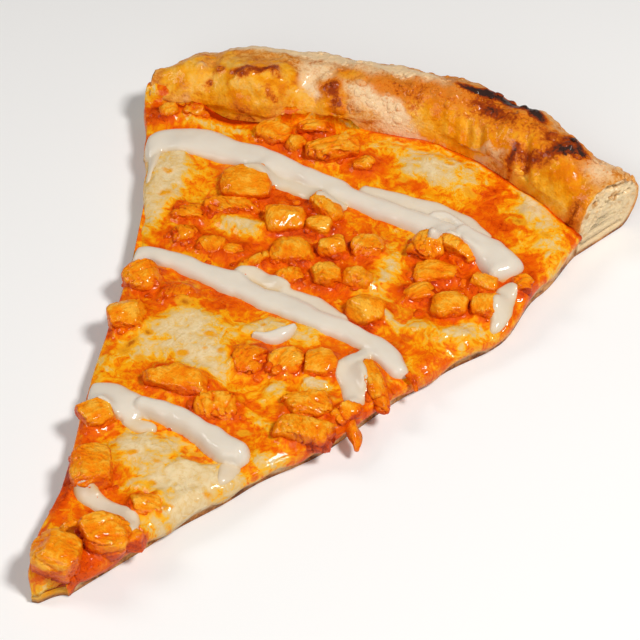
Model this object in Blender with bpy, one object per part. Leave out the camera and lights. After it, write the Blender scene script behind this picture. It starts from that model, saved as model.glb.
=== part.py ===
"""Buffalo chicken pizza slice.

One hand-cut wedge of an 18 inch thin-crust pizza. It lies flat, tip towards -Y, rim towards +Y.
The dough base and its puffed rim are one solid. A skin of sauce and a layer of melted cheese run
through to both cut sides, diced chicken stands in pockets of the cheese, and four drizzled ropes
of ranch dressing are fused to the cheese.

Sizes are in millimetres, places are measured from the middle of the whole pizza, and the finished
meshes are moved so that the origin lies on the underside, part way up the slice's mid-line.
"""

import random
from math import asin, atan2, cos, exp, hypot, pi, radians, sin

import bmesh
import bpy
from mathutils import Matrix, Vector, noise

MM = 0.001

# The wedge
HALF_ANGLE = radians(20.3)  # from the mid-line to a cut
TIP_RADIUS = 20.5           # the torn tip, short of the pizza's middle
ORIGIN_RADIUS = 123.0       # the origin's place on the mid-line

# The hand-cut sides: how far each strays outwards from its straight line, at a radius
LEFT_CUT = ((20, 0.0), (34, 0.5), (52, -1.8), (90, -1.0), (120, -2.0), (145, -2.5), (165, 0.8),
            (180, 3.5), (195, 6.5), (215, 5.0), (229, 3.0))
RIGHT_CUT = ((20, -8.0), (48, -6.5), (75, -4.0), (100, -0.2), (122, -0.6), (140, 0.5), (160, 3.0),
             (182, -2.5), (205, -6.8), (229, -5.5))

# Layers
DOUGH_THICKNESS = 3.6       # thin middle of the base
DOUGH_AT_RIM = 7.0          # where the base thickens into the rim
THICKENS_FROM = 150.0
THICKENS_TO = 202.0
SAUCE_THICKNESS = 0.7
CHEESE_THICKNESS = 2.3
GAP = 0.3                   # between touching layers
SAUCE_STOP = 6.0            # short of the rim's foot
CHEESE_STOP = 0.6
CHEESE_OVERHANG = 0.9       # melted past the cut sides

# The rim, by the share of the way from the left cut to the right one
RIM_FOOT = ((0.0, 196.0), (0.3, 197.0), (0.66, 206.0), (1.0, 201.0))  # radius where it rises
RIM_OUTER = ((0.0, 207.0), (0.08, 217.0), (0.2, 222.0), (0.35, 225.0), (0.6, 229.0), (0.72, 229.0),
             (0.85, 226.0), (1.0, 225.0))
RIM_CREST = ((0.0, 16.0), (0.1, 19.5), (0.25, 21.5), (0.5, 21.5), (0.62, 23.0), (0.9, 23.0), (1.0, 21.5))
RIM_MIDDLE = 9.5            # height of its widest ring

# Long bubbles on the rim: share of the way across, half width in it, rise
RIM_BUBBLES = ((0.20, 0.06, 0.6), (0.33, 0.05, -0.8), (0.47, 0.08, 1.0), (0.60, 0.05, 0.8),
               (0.70, 0.04, -1.4), (0.80, 0.06, 1.5), (0.92, 0.04, -0.6))

# Thick melted mozzarella: x, y, half length along x, half length along y, rise
CHEESE_MOUNDS = ((-52, 155, 9, 15, 1.6), (-21, 149, 9, 5, 1.4), (21, 150, 6, 10, 1.2),
                 (-15, 106, 17, 17, 1.5), (5, 63, 16, 8, 1.4), (20, 194, 13, 6, 1.6), (52, 186, 8, 6, 1.2),
                 (46, 139, 10, 4, 1.8), (10, 120, 9, 5, 0.8), (17, 101, 5, 4, 1.0), (16, 56, 5, 5, 1.2),
                 (-45, 134, 5, 6, 0.8))

# Ranch ropes: rise over the cheese, then x, y and half width at each bend
RANCH_ROPES = (
    (2.8, ((-61, 169, 3.6), (-53, 174, 4.6), (-42, 174.6, 4.4), (-29, 175, 3.9), (-15, 175.4, 3.6),
           (0, 173.6, 3.8), (12, 173, 3.7), (23, 173.6, 4.2), (34, 173.4, 4.2), (42, 170.6, 5.0),
           (50, 167.4, 5.8))),
    (2.6, ((-45, 121, 2.4), (-42, 124.6, 3.2), (-35, 126, 3.6), (-24, 126, 3.4), (-12, 125.6, 3.7),
           (2, 125, 3.7), (14, 124.6, 3.6), (26, 124.4, 3.8), (35, 122.6, 4.4), (40, 119, 2.6))),
    (2.2, ((-28.5, 76, 3.0), (-24, 76.6, 4.6), (-18.5, 76.8, 5.2), (-14.5, 77, 4.2))),
    (4.2, ((-12, 78, 3.0), (-6, 79, 3.6), (1, 78.4, 3.9), (10, 76, 4.2), (17, 73.6, 4.1))),
)

# Diced grilled chicken: x, y, length, width, rise over the cheese, turn in degrees
CHICKEN = (
    (-30.4, 163.8, 12, 11.5, 4.2, 32), (-30, 154, 14, 6, 2.6, 26), (-39, 146, 9, 6, 3.0, 15),
    (-35, 138, 7, 5, 3.0, 38), (-27, 138, 7, 6, 3.2, 12), (-20, 139, 6, 4, 2.6, 28),
    (-13, 137, 10, 3, 3.2, 66), (-13, 157, 10, 8, 4.6, 40), (-5, 146, 11, 7, 4.0, 16),
    (-1, 137, 8, 5, 2.8, 36), (-5, 166, 11, 5, 4.0, -19), (4, 153, 7, 6, 4.6, 48),
    (-3, 159, 8, 5, 3.6, 8), (8, 142, 7, 7, 5.0, 43), (16, 145, 8, 6, 5.0, 3),
    (13, 158, 8, 7, 4.6, 38), (28, 164, 8, 7, 6.0, 8), (36, 168, 10, 4, 4.6, -17),
    (34, 158, 11, 6, 2.8, 38), (48, 160, 7, 4, 3.2, 8), (53, 153, 8, 6, 4.4, 28),
    (43, 148, 9, 7, 4.2, 43), (58, 164, 5, 5, 3.4, 28), (33, 149, 8, 5, 2.8, 36),
    (24, 136, 9, 8, 5.0, 13), (26, 98, 12, 6, 4.4, 33), (30, 90, 14, 7, 5.2, 23),
    (5, 105, 9, 8, 3.6, 28), (13, 109, 9, 7, 3.6, 48), (22, 113, 8, 7, 3.6, 18),
    (37, 114, 16, 4, 3.8, -42), (-8, 90, 16, 7, 4.4, 14), (5, 87, 10, 7, 3.0, 28),
    (-21, 69, 8, 8, 5.0, 60), (-12, 54, 9, 11, 5.8, 33), (6, 51, 8, 6, 3.2, 28),
    (2, 38, 11, 9, 6.2, 6), (-4, 27, 11, 9, 7.4, 16), (9, 41, 4, 5, 3.6, 30),
    (-37, 118, 9, 8, 5.4, 18), (-32, 102, 9, 8, 5.4, 40), (-25, 117, 8, 6, 3.2, 28),
    (-33, 185, 9, 6, 3.6, 8), (-25, 184, 5, 5, 4.0, -7), (-14, 187, 13, 7, 5.0, 44),
    (-23, 192, 9, 5, 3.6, 20), (-3, 186, 6, 4, 3.2, 28), (-59, 183, 6, 5, 3.0, 28),
    (-66, 179, 5, 4, 3.0, 28), (36, 101, 8, 4, 3.2, 62),
)
CHICKEN_RUMPLE = 0.5        # how far a corner strays
POCKET_GAP = 0.35           # from chicken to the cheese round it
POCKET_SIDES = 8
POCKET_DEPTH = 20.0         # over and under a piece's middle, past both faces of the cheese

# Mesh steps
COLUMNS = 20                # across the slice
BASE_ROWS = 14              # tip to the rim's foot
RIM_ROWS = 11               # over the rim
CHEESE_COLUMNS = 16
CHEESE_ROWS = 27
ROPE_SIDES = 8
ROPE_STEP = 5.0


def smoothstep(low, high, value):
    """0 below low, 1 above high, with a soft turn at both."""
    t = min(max((value - low) / (high - low), 0.0), 1.0)
    return t * t * (3.0 - 2.0 * t)


def read_table(table, value):
    """Soft steps between the rows of a (place, size) table."""
    for (a, size_a), (b, size_b) in zip(table, table[1:]):
        if value <= b:
            return size_a + (size_b - size_a) * smoothstep(a, b, value)
    return table[-1][1]


def cut_angle(side, radius):
    """Angle from the mid-line of the left (-1) or right (+1) cut at a radius."""
    table = LEFT_CUT if side < 0 else RIGHT_CUT
    across = radius * sin(HALF_ANGLE) + read_table(table, radius)
    return side * asin(min(across / radius, 0.9))


def place(radius, share, overhang=0.0):
    """x, y at a radius and at a share of the way from the left cut to the right one."""
    left = cut_angle(-1, radius) - overhang / radius
    right = cut_angle(1, radius) + overhang / radius
    angle = left + (right - left) * share
    return radius * sin(angle), radius * cos(angle)


def base_height(radius):
    """Top of the dough base."""
    thickening = smoothstep(THICKENS_FROM, THICKENS_TO, radius)
    return DOUGH_THICKNESS + (DOUGH_AT_RIM - DOUGH_THICKNESS) * thickening


def bed_height(radius):
    """Top of the sauce, with the gap that what stands on it keeps."""
    return base_height(radius) + 2 * GAP + SAUCE_THICKNESS


def cheese_height(x, y):
    """Top of the cheese: a rippled sheet with thicker melted patches."""
    height = bed_height(hypot(x, y)) + CHEESE_THICKNESS
    for mound_x, mound_y, half_x, half_y, rise in CHEESE_MOUNDS:
        far = ((x - mound_x) / half_x) ** 2 + ((y - mound_y) / half_y) ** 2
        height += rise * exp(-far * far)
    return height + 0.45 * noise.noise(Vector((x, y, 0)) * 0.11)


def new_object(name, mesh, collection, colour, roughness):
    """An object with its own Principled material, moved so that the origin lies under the slice."""
    mesh.transform(Matrix.Scale(MM, 4) @ Matrix.Translation((0, -ORIGIN_RADIUS, 0)))
    thing = bpy.data.objects.new(name, mesh)
    collection.objects.link(thing)
    material = bpy.data.materials.new(name)
    material.use_nodes = True
    shader = material.node_tree.nodes["Principled BSDF"]
    shader.inputs["Base Color"].default_value = (*colour, 1)
    shader.inputs["Roughness"].default_value = roughness
    mesh.materials.append(material)
    mesh.shade_smooth()
    mesh.set_sharp_from_angle(angle=radians(40))
    return thing


def to_mesh(name, bm):
    """A mesh from a bmesh, with its faces turned outwards."""
    bmesh.ops.recalc_face_normals(bm, faces=bm.faces)
    mesh = bpy.data.meshes.new(name)
    bm.to_mesh(mesh)
    bm.free()
    return mesh


def sheet_between(name, rows, columns, top, bottom):
    """A closed sheet: a grid over, a grid under, and a wall of quads round their edge."""
    bm = bmesh.new()
    grids = [[[bm.verts.new(surface(i / rows, j / columns)) for j in range(columns + 1)]
              for i in range(rows + 1)] for surface in (top, bottom)]
    for grid in grids:
        for i in range(rows):
            for j in range(columns):
                bm.faces.new((grid[i][j], grid[i][j + 1], grid[i + 1][j + 1], grid[i + 1][j]))
    over, under = grids
    border = [(0, j) for j in range(columns)] + [(i, columns) for i in range(rows)]
    border += [(rows, columns - j) for j in range(columns)] + [(rows - i, 0) for i in range(rows)]
    for (i, j), (k, m) in zip(border, border[1:] + border[:1]):
        bm.faces.new((over[i][j], over[k][m], under[k][m], under[i][j]))
    return to_mesh(name, bm)


def crust_loop(share):
    """One section through the crust: over the base and the rim, and back along the underside."""
    foot = read_table(RIM_FOOT, share)
    outer = read_table(RIM_OUTER, share)
    crest = read_table(RIM_CREST, share)
    for middle, half_width, rise in RIM_BUBBLES:
        swell = rise * exp(-((share - middle) / half_width) ** 2)
        crest += swell
        outer += 0.4 * swell
    middle = (foot + outer) / 2
    half = (outer - foot) / 2
    base = [TIP_RADIUS + (foot - TIP_RADIUS) * i / BASE_ROWS for i in range(BASE_ROWS + 1)]
    loop = [(radius, base_height(radius)) for radius in base]
    for i in range(1, RIM_ROWS + 1):
        turn = pi * (1 - i / RIM_ROWS)
        lift = max(sin(turn), 0.0) ** 0.8
        low = base_height(foot) + (RIM_MIDDLE - base_height(foot)) * i / RIM_ROWS
        loop.append((middle + half * cos(turn), low + (crest - low) * lift))
    loop.append((outer - 1.5, RIM_MIDDLE * 0.42))
    loop.append((outer - 5.5, 0.0))
    return loop + [(radius, 0.0) for radius in reversed(base)]


def crust_point(radius, height, share):
    """A point of the crust, with soft lumps over the rim and rounded ends."""
    x, y = place(radius, share)
    if radius > read_table(RIM_FOOT, share) + 1 and height > 1:
        rumple = noise.noise(Vector((x, y, height)) * 0.09) * 1.3
        radius += rumple * 0.6
        height += rumple * smoothstep(6, 16, height)
        x, y = place(radius, share)
    return x, y, height


def build_crust(collection):
    """Dough base and rim, lofted across the slice and capped at both cuts."""
    bm = bmesh.new()
    loops = []
    for j in range(COLUMNS + 1):
        share = j / COLUMNS
        section = crust_loop(share)
        loops.append([bm.verts.new(crust_point(radius, height, share)) for radius, height in section])
    count = len(loops[0])
    for left, right in zip(loops, loops[1:]):
        for i in range(count):
            k = (i + 1) % count
            bm.faces.new((left[i], left[k], right[k], right[i]))
    under = count - 1
    for loop in (loops[0], loops[-1]):
        for i in range(BASE_ROWS):
            bm.faces.new((loop[i], loop[i + 1], loop[under - i - 1], loop[under - i]))
        ring = loop[BASE_ROWS:under - BASE_ROWS + 1]
        centre = sum((vert.co for vert in ring), Vector()) / len(ring)
        crumb = bm.verts.new(centre)
        for a, b in zip(ring, ring[1:] + ring[:1]):
            bm.faces.new((a, b, crumb))
    return new_object("crust", to_mesh("crust", bm), collection, (0.62, 0.36, 0.13), 0.75)


def build_sauce(collection):
    """Skin of hot sauce over the base, on the base's own grid so that the gap stays even."""
    def surface(thickness):
        def point(i, j):
            radius = TIP_RADIUS + (read_table(RIM_FOOT, j) - SAUCE_STOP - TIP_RADIUS) * i
            x, y = place(radius, j)
            return x, y, base_height(radius) + GAP + thickness
        return point

    mesh = sheet_between("sauce", BASE_ROWS, COLUMNS // 2, surface(SAUCE_THICKNESS), surface(0.0))
    return new_object("sauce", mesh, collection, (0.55, 0.09, 0.01), 0.35)


def build_cheese(collection):
    """Melted cheese: flat under, rippled over, thin at its edge and lapping onto the rim's foot."""
    def radius_at(i, j):
        return TIP_RADIUS + (read_table(RIM_FOOT, j) - CHEESE_STOP - TIP_RADIUS) * i

    def over(i, j):
        radius = radius_at(i, j)
        x, y = place(radius, j, CHEESE_OVERHANG)
        inside = min(j, 1 - j) * radius * 2 * HALF_ANGLE
        low = bed_height(radius) + 0.9
        full = smoothstep(-2.0, 4.0, min(inside, radius - TIP_RADIUS, radius_at(1, j) - radius + 1))
        return x, y, low + (cheese_height(x, y) - low) * full

    def under(i, j):
        radius = radius_at(i, j)
        x, y = place(radius, j, CHEESE_OVERHANG)
        return x, y, bed_height(radius)

    mesh = sheet_between("cheese", CHEESE_ROWS, CHEESE_COLUMNS, over, under)
    return new_object("cheese", mesh, collection, (0.86, 0.55, 0.18), 0.4)


def rope_centres(bends):
    """Points and half widths every few millimetres along a soft curve through a rope's bends."""
    ends = [bends[0], *bends, bends[-1]]
    points = []
    for before, start, end, after in zip(ends, ends[1:], ends[2:], ends[3:]):
        steps = max(1, round(hypot(end[0] - start[0], end[1] - start[1]) / ROPE_STEP))
        for step in range(steps):
            t = step / steps
            points.append([0.5 * (2 * b + (c - a) * t + (2 * a - 5 * b + 4 * c - d) * t * t
                                  + (3 * b - a - 3 * c + d) * t ** 3)
                           for a, b, c, d in zip(before, start, end, after)])
    return points + [list(bends[-1])]


def build_rope(name, rise, bends, collection):
    """A rope of ranch: flattened rings that sink into the cheese, with a rounded end on both sides."""
    bm = bmesh.new()
    points = rope_centres(bends)
    rings = []
    for index, (x, y, half) in enumerate(points):
        ahead = points[min(index + 1, len(points) - 1)]
        behind = points[max(index - 1, 0)]
        heading = atan2(ahead[1] - behind[1], ahead[0] - behind[0])
        ring = []
        for side in range(ROPE_SIDES):
            turn = 2 * pi * side / ROPE_SIDES
            out = half * cos(turn)
            up = sin(turn) * (rise if sin(turn) > 0 else 1.0)
            spot = (x - out * sin(heading), y + out * cos(heading), cheese_height(x, y) + up)
            ring.append(bm.verts.new(spot))
        rings.append(ring)
    for ring, beyond in zip(rings, rings[1:]):
        for a in range(ROPE_SIDES):
            b = (a + 1) % ROPE_SIDES
            bm.faces.new((ring[a], ring[b], beyond[b], beyond[a]))
    ends = ((rings[0], points[0], points[1]), (rings[-1], points[-1], points[-2]))
    for ring, (x, y, half), inner in ends:
        heading = atan2(y - inner[1], x - inner[0])
        tip = bm.verts.new((x + half * 0.7 * cos(heading), y + half * 0.7 * sin(heading),
                            cheese_height(x, y) + rise * 0.3))
        for a in range(ROPE_SIDES):
            bm.faces.new((ring[a], ring[(a + 1) % ROPE_SIDES], tip))
    return new_object(name, to_mesh(name, bm), collection, (0.8, 0.75, 0.65), 0.3)


def chicken_points(size, draw):
    """Corner points of one dice: a cube with its edges worn round and its faces a little skewed."""
    bm = bmesh.new()
    bmesh.ops.create_cube(bm, size=2.0)
    bmesh.ops.subdivide_edges(bm, edges=bm.edges, cuts=2 if size[0] >= 9 else 1, use_grid_fill=True)
    lean = draw.uniform(-0.16, 0.16)
    points = []
    for vert in bm.verts:
        worn = vert.co / max(vert.co.length, 1.0) ** 0.62
        spot = Vector((worn.x * size[0], worn.y * size[1], worn.z * size[2])) / 2
        spot.x += lean * spot.z
        if vert.co.z > -0.99:
            spot += Vector([draw.uniform(-1, 1) for _ in range(3)]) * CHICKEN_RUMPLE
        else:
            spot.z = -size[2] / 2
        points.append(spot)
    bm.free()
    return points


def hull_of(name, points):
    """The closed convex shape round some points."""
    bm = bmesh.new()
    for point in points:
        bm.verts.new(point)
    found = bmesh.ops.convex_hull(bm, input=bm.verts)
    inner = found["geom_interior"] + found["geom_unused"]
    spare = {item for item in inner if isinstance(item, bmesh.types.BMVert)}
    bmesh.ops.delete(bm, geom=list(spare), context="VERTS")
    return to_mesh(name, bm)


def build_chicken(index, piece, collection, cutters):
    """One piece of chicken that stands on the sauce, and the wider plug that opens its pocket."""
    x, y, length, width, rise, turn = piece
    draw = random.Random(index)
    foot = bed_height(hypot(x, y) + max(length, width) / 2)
    height = rise + CHEESE_THICKNESS
    spin = Matrix.Rotation(radians(turn), 4, "Z")
    points = [spin @ point for point in chicken_points((length, width, height), draw)]
    middle = Vector((x, y, foot + height / 2))
    name = f"chicken_{index:02d}"
    mesh = hull_of(name, [middle + point for point in points])
    new_object(name, mesh, collection, (0.75, 0.27, 0.04), 0.5)
    opening = pocket_mesh(points, middle, radians(turn))
    plug = new_object(f"pocket_{index:02d}", opening, cutters, (1, 1, 1), 1.0)
    plug.hide_render = True
    plug.display_type = "WIRE"


def pocket_mesh(points, middle, turn):
    """An eight-sided prism that just clears a piece of chicken and passes through the cheese."""
    corner = pi / POCKET_SIDES
    bm = bmesh.new()
    reach = []
    for side in range(POCKET_SIDES):
        facing = turn + 2 * corner * side
        out = Vector((cos(facing), sin(facing), 0))
        reach.append((facing, max(point.dot(out) for point in points) + POCKET_GAP))
    outline = []
    for (facing, near), (_, beyond) in zip(reach, reach[1:] + reach[:1]):
        along = (beyond - near * cos(2 * corner)) / sin(2 * corner)
        spot = Matrix.Rotation(facing, 3, "Z") @ Vector((near, along, 0))
        outline.append(middle + spot)
    deep = Vector((0, 0, POCKET_DEPTH))
    low = [bm.verts.new(spot - deep) for spot in outline]
    high = [bm.verts.new(spot + deep) for spot in outline]
    bm.faces.new(low)
    bm.faces.new(high)
    for a in range(POCKET_SIDES):
        b = (a + 1) % POCKET_SIDES
        bm.faces.new((low[a], low[b], high[b], high[a]))
    return to_mesh("pocket", bm)


def apply_boolean(thing, operation, collection):
    """Join a collection to a solid, or cut it away, and keep the result as the solid's mesh."""
    step = thing.modifiers.new(operation.title(), "BOOLEAN")
    step.operation = operation
    step.solver = "EXACT"
    step.operand_type = "COLLECTION"
    step.collection = collection
    graph = bpy.context.evaluated_depsgraph_get()
    mesh = bpy.data.meshes.new_from_object(thing.evaluated_get(graph))
    thing.modifiers.remove(step)
    thing.data = mesh


def keep_largest(thing):
    """Drop the loose scraps that pockets near a cut side leave."""
    bm = bmesh.new()
    bm.from_mesh(thing.data)
    left = set(bm.verts)
    islands = []
    while left:
        island = []
        queue = [left.pop()]
        while queue:
            vert = queue.pop()
            island.append(vert)
            for edge in vert.link_edges:
                other = edge.other_vert(vert)
                if other in left:
                    left.remove(other)
                    queue.append(other)
        islands.append(island)
    islands.sort(key=len)
    scraps = [vert for island in islands[:-1] for vert in island]
    bmesh.ops.delete(bm, geom=scraps, context="VERTS")
    bmesh.ops.triangulate(bm, faces=bm.faces)
    bm.to_mesh(thing.data)
    bm.free()


def new_collection(name):
    """A collection of the scene."""
    collection = bpy.data.collections.new(name)
    bpy.context.scene.collection.children.link(collection)
    return collection


def main():
    for thing in list(bpy.data.objects):
        bpy.data.objects.remove(thing, do_unlink=True)
    slice_parts = new_collection("Buffalo chicken pizza slice")
    ranch = new_collection("Ranch ropes")
    cutters = new_collection("Chicken pockets")

    build_crust(slice_parts)
    build_sauce(slice_parts)
    cheese = build_cheese(slice_parts)
    for index, (rise, bends) in enumerate(RANCH_ROPES, start=1):
        build_rope(f"rope_{index}", rise, bends, ranch)
    for index, piece in enumerate(CHICKEN, start=1):
        build_chicken(index, piece, slice_parts, cutters)

    apply_boolean(cheese, "UNION", ranch)
    for rope in list(ranch.objects):
        bpy.data.objects.remove(rope, do_unlink=True)
    bpy.data.collections.remove(ranch)
    apply_boolean(cheese, "DIFFERENCE", cutters)
    keep_largest(cheese)


main()
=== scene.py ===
"""Buffalo chicken pizza slice: the finished look of its crust, sauce, cheese, chicken and ranch.

Every piece is modelled in millimetres measured from the middle of the whole pizza, as the solids
are, and is then moved to the slice's own origin, in metres. Open the file in Blender's text editor
and run it: each step is an operator in the sidebar's Pizza Slice panel.
"""

import random
from math import cos, pi, radians, sin

import bmesh
import bpy
import numpy as np
from bpy.props import FloatProperty, PointerProperty
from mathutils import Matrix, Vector, noise
from mathutils.bvhtree import BVHTree


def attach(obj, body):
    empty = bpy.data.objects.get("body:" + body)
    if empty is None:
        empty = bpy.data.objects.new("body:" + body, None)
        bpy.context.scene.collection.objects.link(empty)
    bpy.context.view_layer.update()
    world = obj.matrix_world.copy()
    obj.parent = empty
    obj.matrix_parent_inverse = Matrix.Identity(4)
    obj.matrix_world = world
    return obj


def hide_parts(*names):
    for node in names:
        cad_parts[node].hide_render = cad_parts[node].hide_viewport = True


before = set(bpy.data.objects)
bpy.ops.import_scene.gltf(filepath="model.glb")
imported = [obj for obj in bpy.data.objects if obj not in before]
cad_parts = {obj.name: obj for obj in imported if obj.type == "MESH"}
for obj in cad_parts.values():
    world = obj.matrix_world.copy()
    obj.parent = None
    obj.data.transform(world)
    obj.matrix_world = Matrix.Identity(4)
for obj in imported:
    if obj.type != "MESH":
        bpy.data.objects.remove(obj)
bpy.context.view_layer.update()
BODY = "root"
CHICKEN_FINISH = "grilled chicken in buffalo sauce"

bl_info = {
    "name": "Buffalo Chicken Pizza Slice",
    "version": (1, 0, 0),
    "blender": (4, 5, 0),
    "location": "View3D > Sidebar > Pizza Slice",
    "description": "Finishes a slice of pizza with browned crust, melted cheese, chicken and ranch",
    "category": "Object",
}

MM = 0.001

# The wedge, as its solids have it: radii and heights in millimetres, shares from the left cut to the right
HALF_ANGLE = radians(20.3)
TIP_RADIUS = 20.5
ORIGIN_RADIUS = 123.0
LEFT_CUT = ((20, 0.0), (34, 0.5), (52, -1.8), (90, -1.0), (120, -2.0), (145, -2.5), (165, 0.8),
            (180, 3.5), (195, 6.5), (215, 5.0), (229, 3.0))
RIGHT_CUT = ((20, -8.0), (48, -6.5), (75, -4.0), (100, -0.2), (122, -0.6), (140, 0.5), (160, 3.0),
             (182, -2.5), (205, -6.8), (229, -5.5))
DOUGH_THICKNESS = 3.6
DOUGH_AT_RIM = 7.0
THICKENS_FROM = 150.0
THICKENS_TO = 202.0
SAUCE_THICKNESS = 0.7
CHEESE_THICKNESS = 2.3
GAP = 0.3
CHEESE_OVERHANG = 0.9
SAUCE_STOP = 6.0
RIM_FOOT = (
    (0.0, 195.0), (0.08, 194.0), (0.14, 194.0), (0.19, 192.6), (0.25, 192.8), (0.31, 195.6),
    (0.37, 198.6), (0.66, 206.0), (1.0, 201.0),
)
RIM_OUTER = ((0.0, 207.0), (0.08, 217.0), (0.2, 222.0), (0.35, 225.0), (0.6, 229.0), (0.72, 229.0),
             (0.85, 226.0), (1.0, 225.0))
RIM_CREST = ((0.0, 16.0), (0.1, 19.5), (0.25, 21.5), (0.5, 21.5), (0.62, 23.0), (0.9, 23.0), (1.0, 21.5))
RIM_MIDDLE = 9.5
RIM_STEEPNESS = 1.0
RIM_BUBBLES = ((0.20, 0.06, 0.6), (0.33, 0.05, -0.8), (0.47, 0.08, 1.0), (0.60, 0.05, 0.8),
               (0.70, 0.04, -1.4), (0.80, 0.06, 1.5), (0.92, 0.04, -0.6))

# How far the molten cheese climbs the rim, by share
CHEESE_CLIMB = (
    (0.0, 5.0), (0.08, 4.0), (0.13, 1.2), (0.17, 0.4), (0.26, 0.4), (0.31, 2.4), (0.36, 3.4),
    (0.42, 2.0), (0.5, 0.4), (1.0, 0.4),
)

# Thick melted mozzarella: x, y, half length along x, half length along y, rise
CHEESE_MOUNDS = (
    (-52, 155, 9, 15, 1.6), (-21, 149, 9, 5, 1.4), (21, 150, 6, 10, 1.2), (-15, 106, 17, 17, 1.5),
    (5, 63, 16, 8, 1.4), (20, 194, 13, 6, 1.6), (52, 186, 8, 6, 1.2), (46, 139, 10, 4, 1.8),
    (10, 120, 9, 5, 0.8), (17, 101, 5, 4, 1.0), (16, 56, 5, 5, 1.2), (-45, 134, 5, 6, 0.8),
)

# Bare, pale cheese: x, y, half length, half width, turn in degrees, strength
PALE_PATCHES = (
    (-54, 160, 7, 7, 20, 1.3), (-50, 148, 8, 8, 40, 1.0), (-50, 137, 4, 7, 0, 0.7),
    (-23, 149, 8, 4, 8, 1.1), (-14, 107, 14, 11, 10, 1.0), (-5, 99, 10, 6, 30, 0.9),
    (-27, 93, 8, 6, 30, 0.45), (-30, 84, 5, 5, 0, 0.4), (3, 118, 7, 4, 28, 0.9),
    (15, 122, 5, 3, 28, 0.7), (24.5, 106.5, 4, 3.2, 28, 1.0), (16, 98.5, 5, 3, 20, 0.8),
    (28, 101, 6, 2.5, 28, 0.6), (17, 194, 12, 7, 20, 1.1), (1, 197, 8, 4, 20, 0.6),
    (46, 195, 8, 4, -20, 0.75), (22, 154, 4, 8, 10, 0.95), (20, 144, 5, 5, 20, 0.6),
    (29, 137, 3.4, 2, 10, 1.1), (38, 137, 8, 3, 10, 0.6), (50, 142, 9, 3.5, 40, 0.85),
    (-5, 66, 11, 5.5, 28, 1.3), (7, 60, 10, 6, 35, 1.35), (17, 57, 6, 6, 45, 1.2),
    (19, 68, 5, 5, 45, 0.8), (11, 49, 7, 4.5, 45, 0.9), (26, 79, 6, 4, 45, 0.5),
    (17, 89, 9, 2, -30, 0.5), (-14, 76, 6, 4, 0, 0.3), (57, 183, 5, 6, -20, 0.6),
    (50, 190, 8, 5, -20, 0.5), (30, 190, 5, 5, 0, 0.3), (62, 176, 3, 6, -20, 0.5),
    (-54, 180.6, 10, 1.8, 14, 0.7), (-41, 183.5, 5, 2.4, 0, 0.6), (-3, 21, 6, 3, 0, 0.7),
    (8, 36, 4, 5, 30, 0.5), (-38, 96, 4, 4, 0, 0.2), (12, 64, 6, 4, 30, 0.6),
)
# Pools of red sauce: x, y, half length, half width, turn in degrees, strength
SAUCE_POOLS = (
    (-17, 165, 9, 4, 10, 1.0), (-32, 151, 13, 3, 20, 0.6), (0, 150, 16, 12, 20, 0.9),
    (-8, 163, 8, 5, 0, 0.8), (-30, 140, 14, 5, 15, 0.7), (34, 156, 13, 8, 20, 0.9),
    (40, 149, 9, 6, 20, 0.7), (-13, 121, 9, 5, -30, 1.1), (-30, 112, 8, 6, 30, 0.6),
    (5, 108, 8, 6, 30, 1.0), (20, 113, 12, 5, 20, 0.9), (35, 190, 3, 9, -25, 1.0),
    (12, 186, 7, 3, 10, 1.0), (-60, 184.5, 6, 2, 10, 1.0), (-68, 176, 5, 4, 30, 1.2),
    (-45, 187, 5, 1.8, 0, 0.9), (-35, 99, 5, 5, 40, 1.0), (5, 51, 7, 5, 30, 0.7), (0, 31, 9, 8, 30, 0.8),
    (8, 70, 6, 2.5, 20, 0.8), (26, 127, 7, 5, 10, 0.7), (36, 108, 8, 5, 40, 0.5), (3, 87, 9, 5, 20, 0.7),
    (-11, 90, 12, 5, 15, 0.5), (-22, 186, 14, 5, 20, 0.5), (42, 182, 5, 5, 0, 0.7),
    (57, 168, 5, 7, 0, 0.7), (-24, 76, 7, 3, 0, 0.6), (-12, 55, 8, 9, 10, 0.5), (10, 140, 9, 5, 20, 0.9),
    (24, 130, 8, 5, 0, 0.8), (-3, 188, 6, 4, 10, 0.8), (-16, 50, 2.6, 12, 12, 1.5),
    (-44, 146, 5, 3, 10, 0.7), (54, 155, 7, 5, 20, 0.5), (-35, 176, 9, 2, 0, 0.4),
)
# The red crease under the rim's big bubble: x, y, half length, half width, turn in degrees, depth
RIM_CREASES = (
    (-67, 180.6, 4.4, 1.0, 30, 0.9), (-60.5, 186.4, 4.0, 1.1, 36, 1.0), (-54, 184.4, 4.0, 1.2, 0, 0.9),
    (-48.4, 185.4, 4.0, 1.2, 8, 1.0), (-42, 187.6, 3.4, 1.1, 20, 0.8),
)
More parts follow.
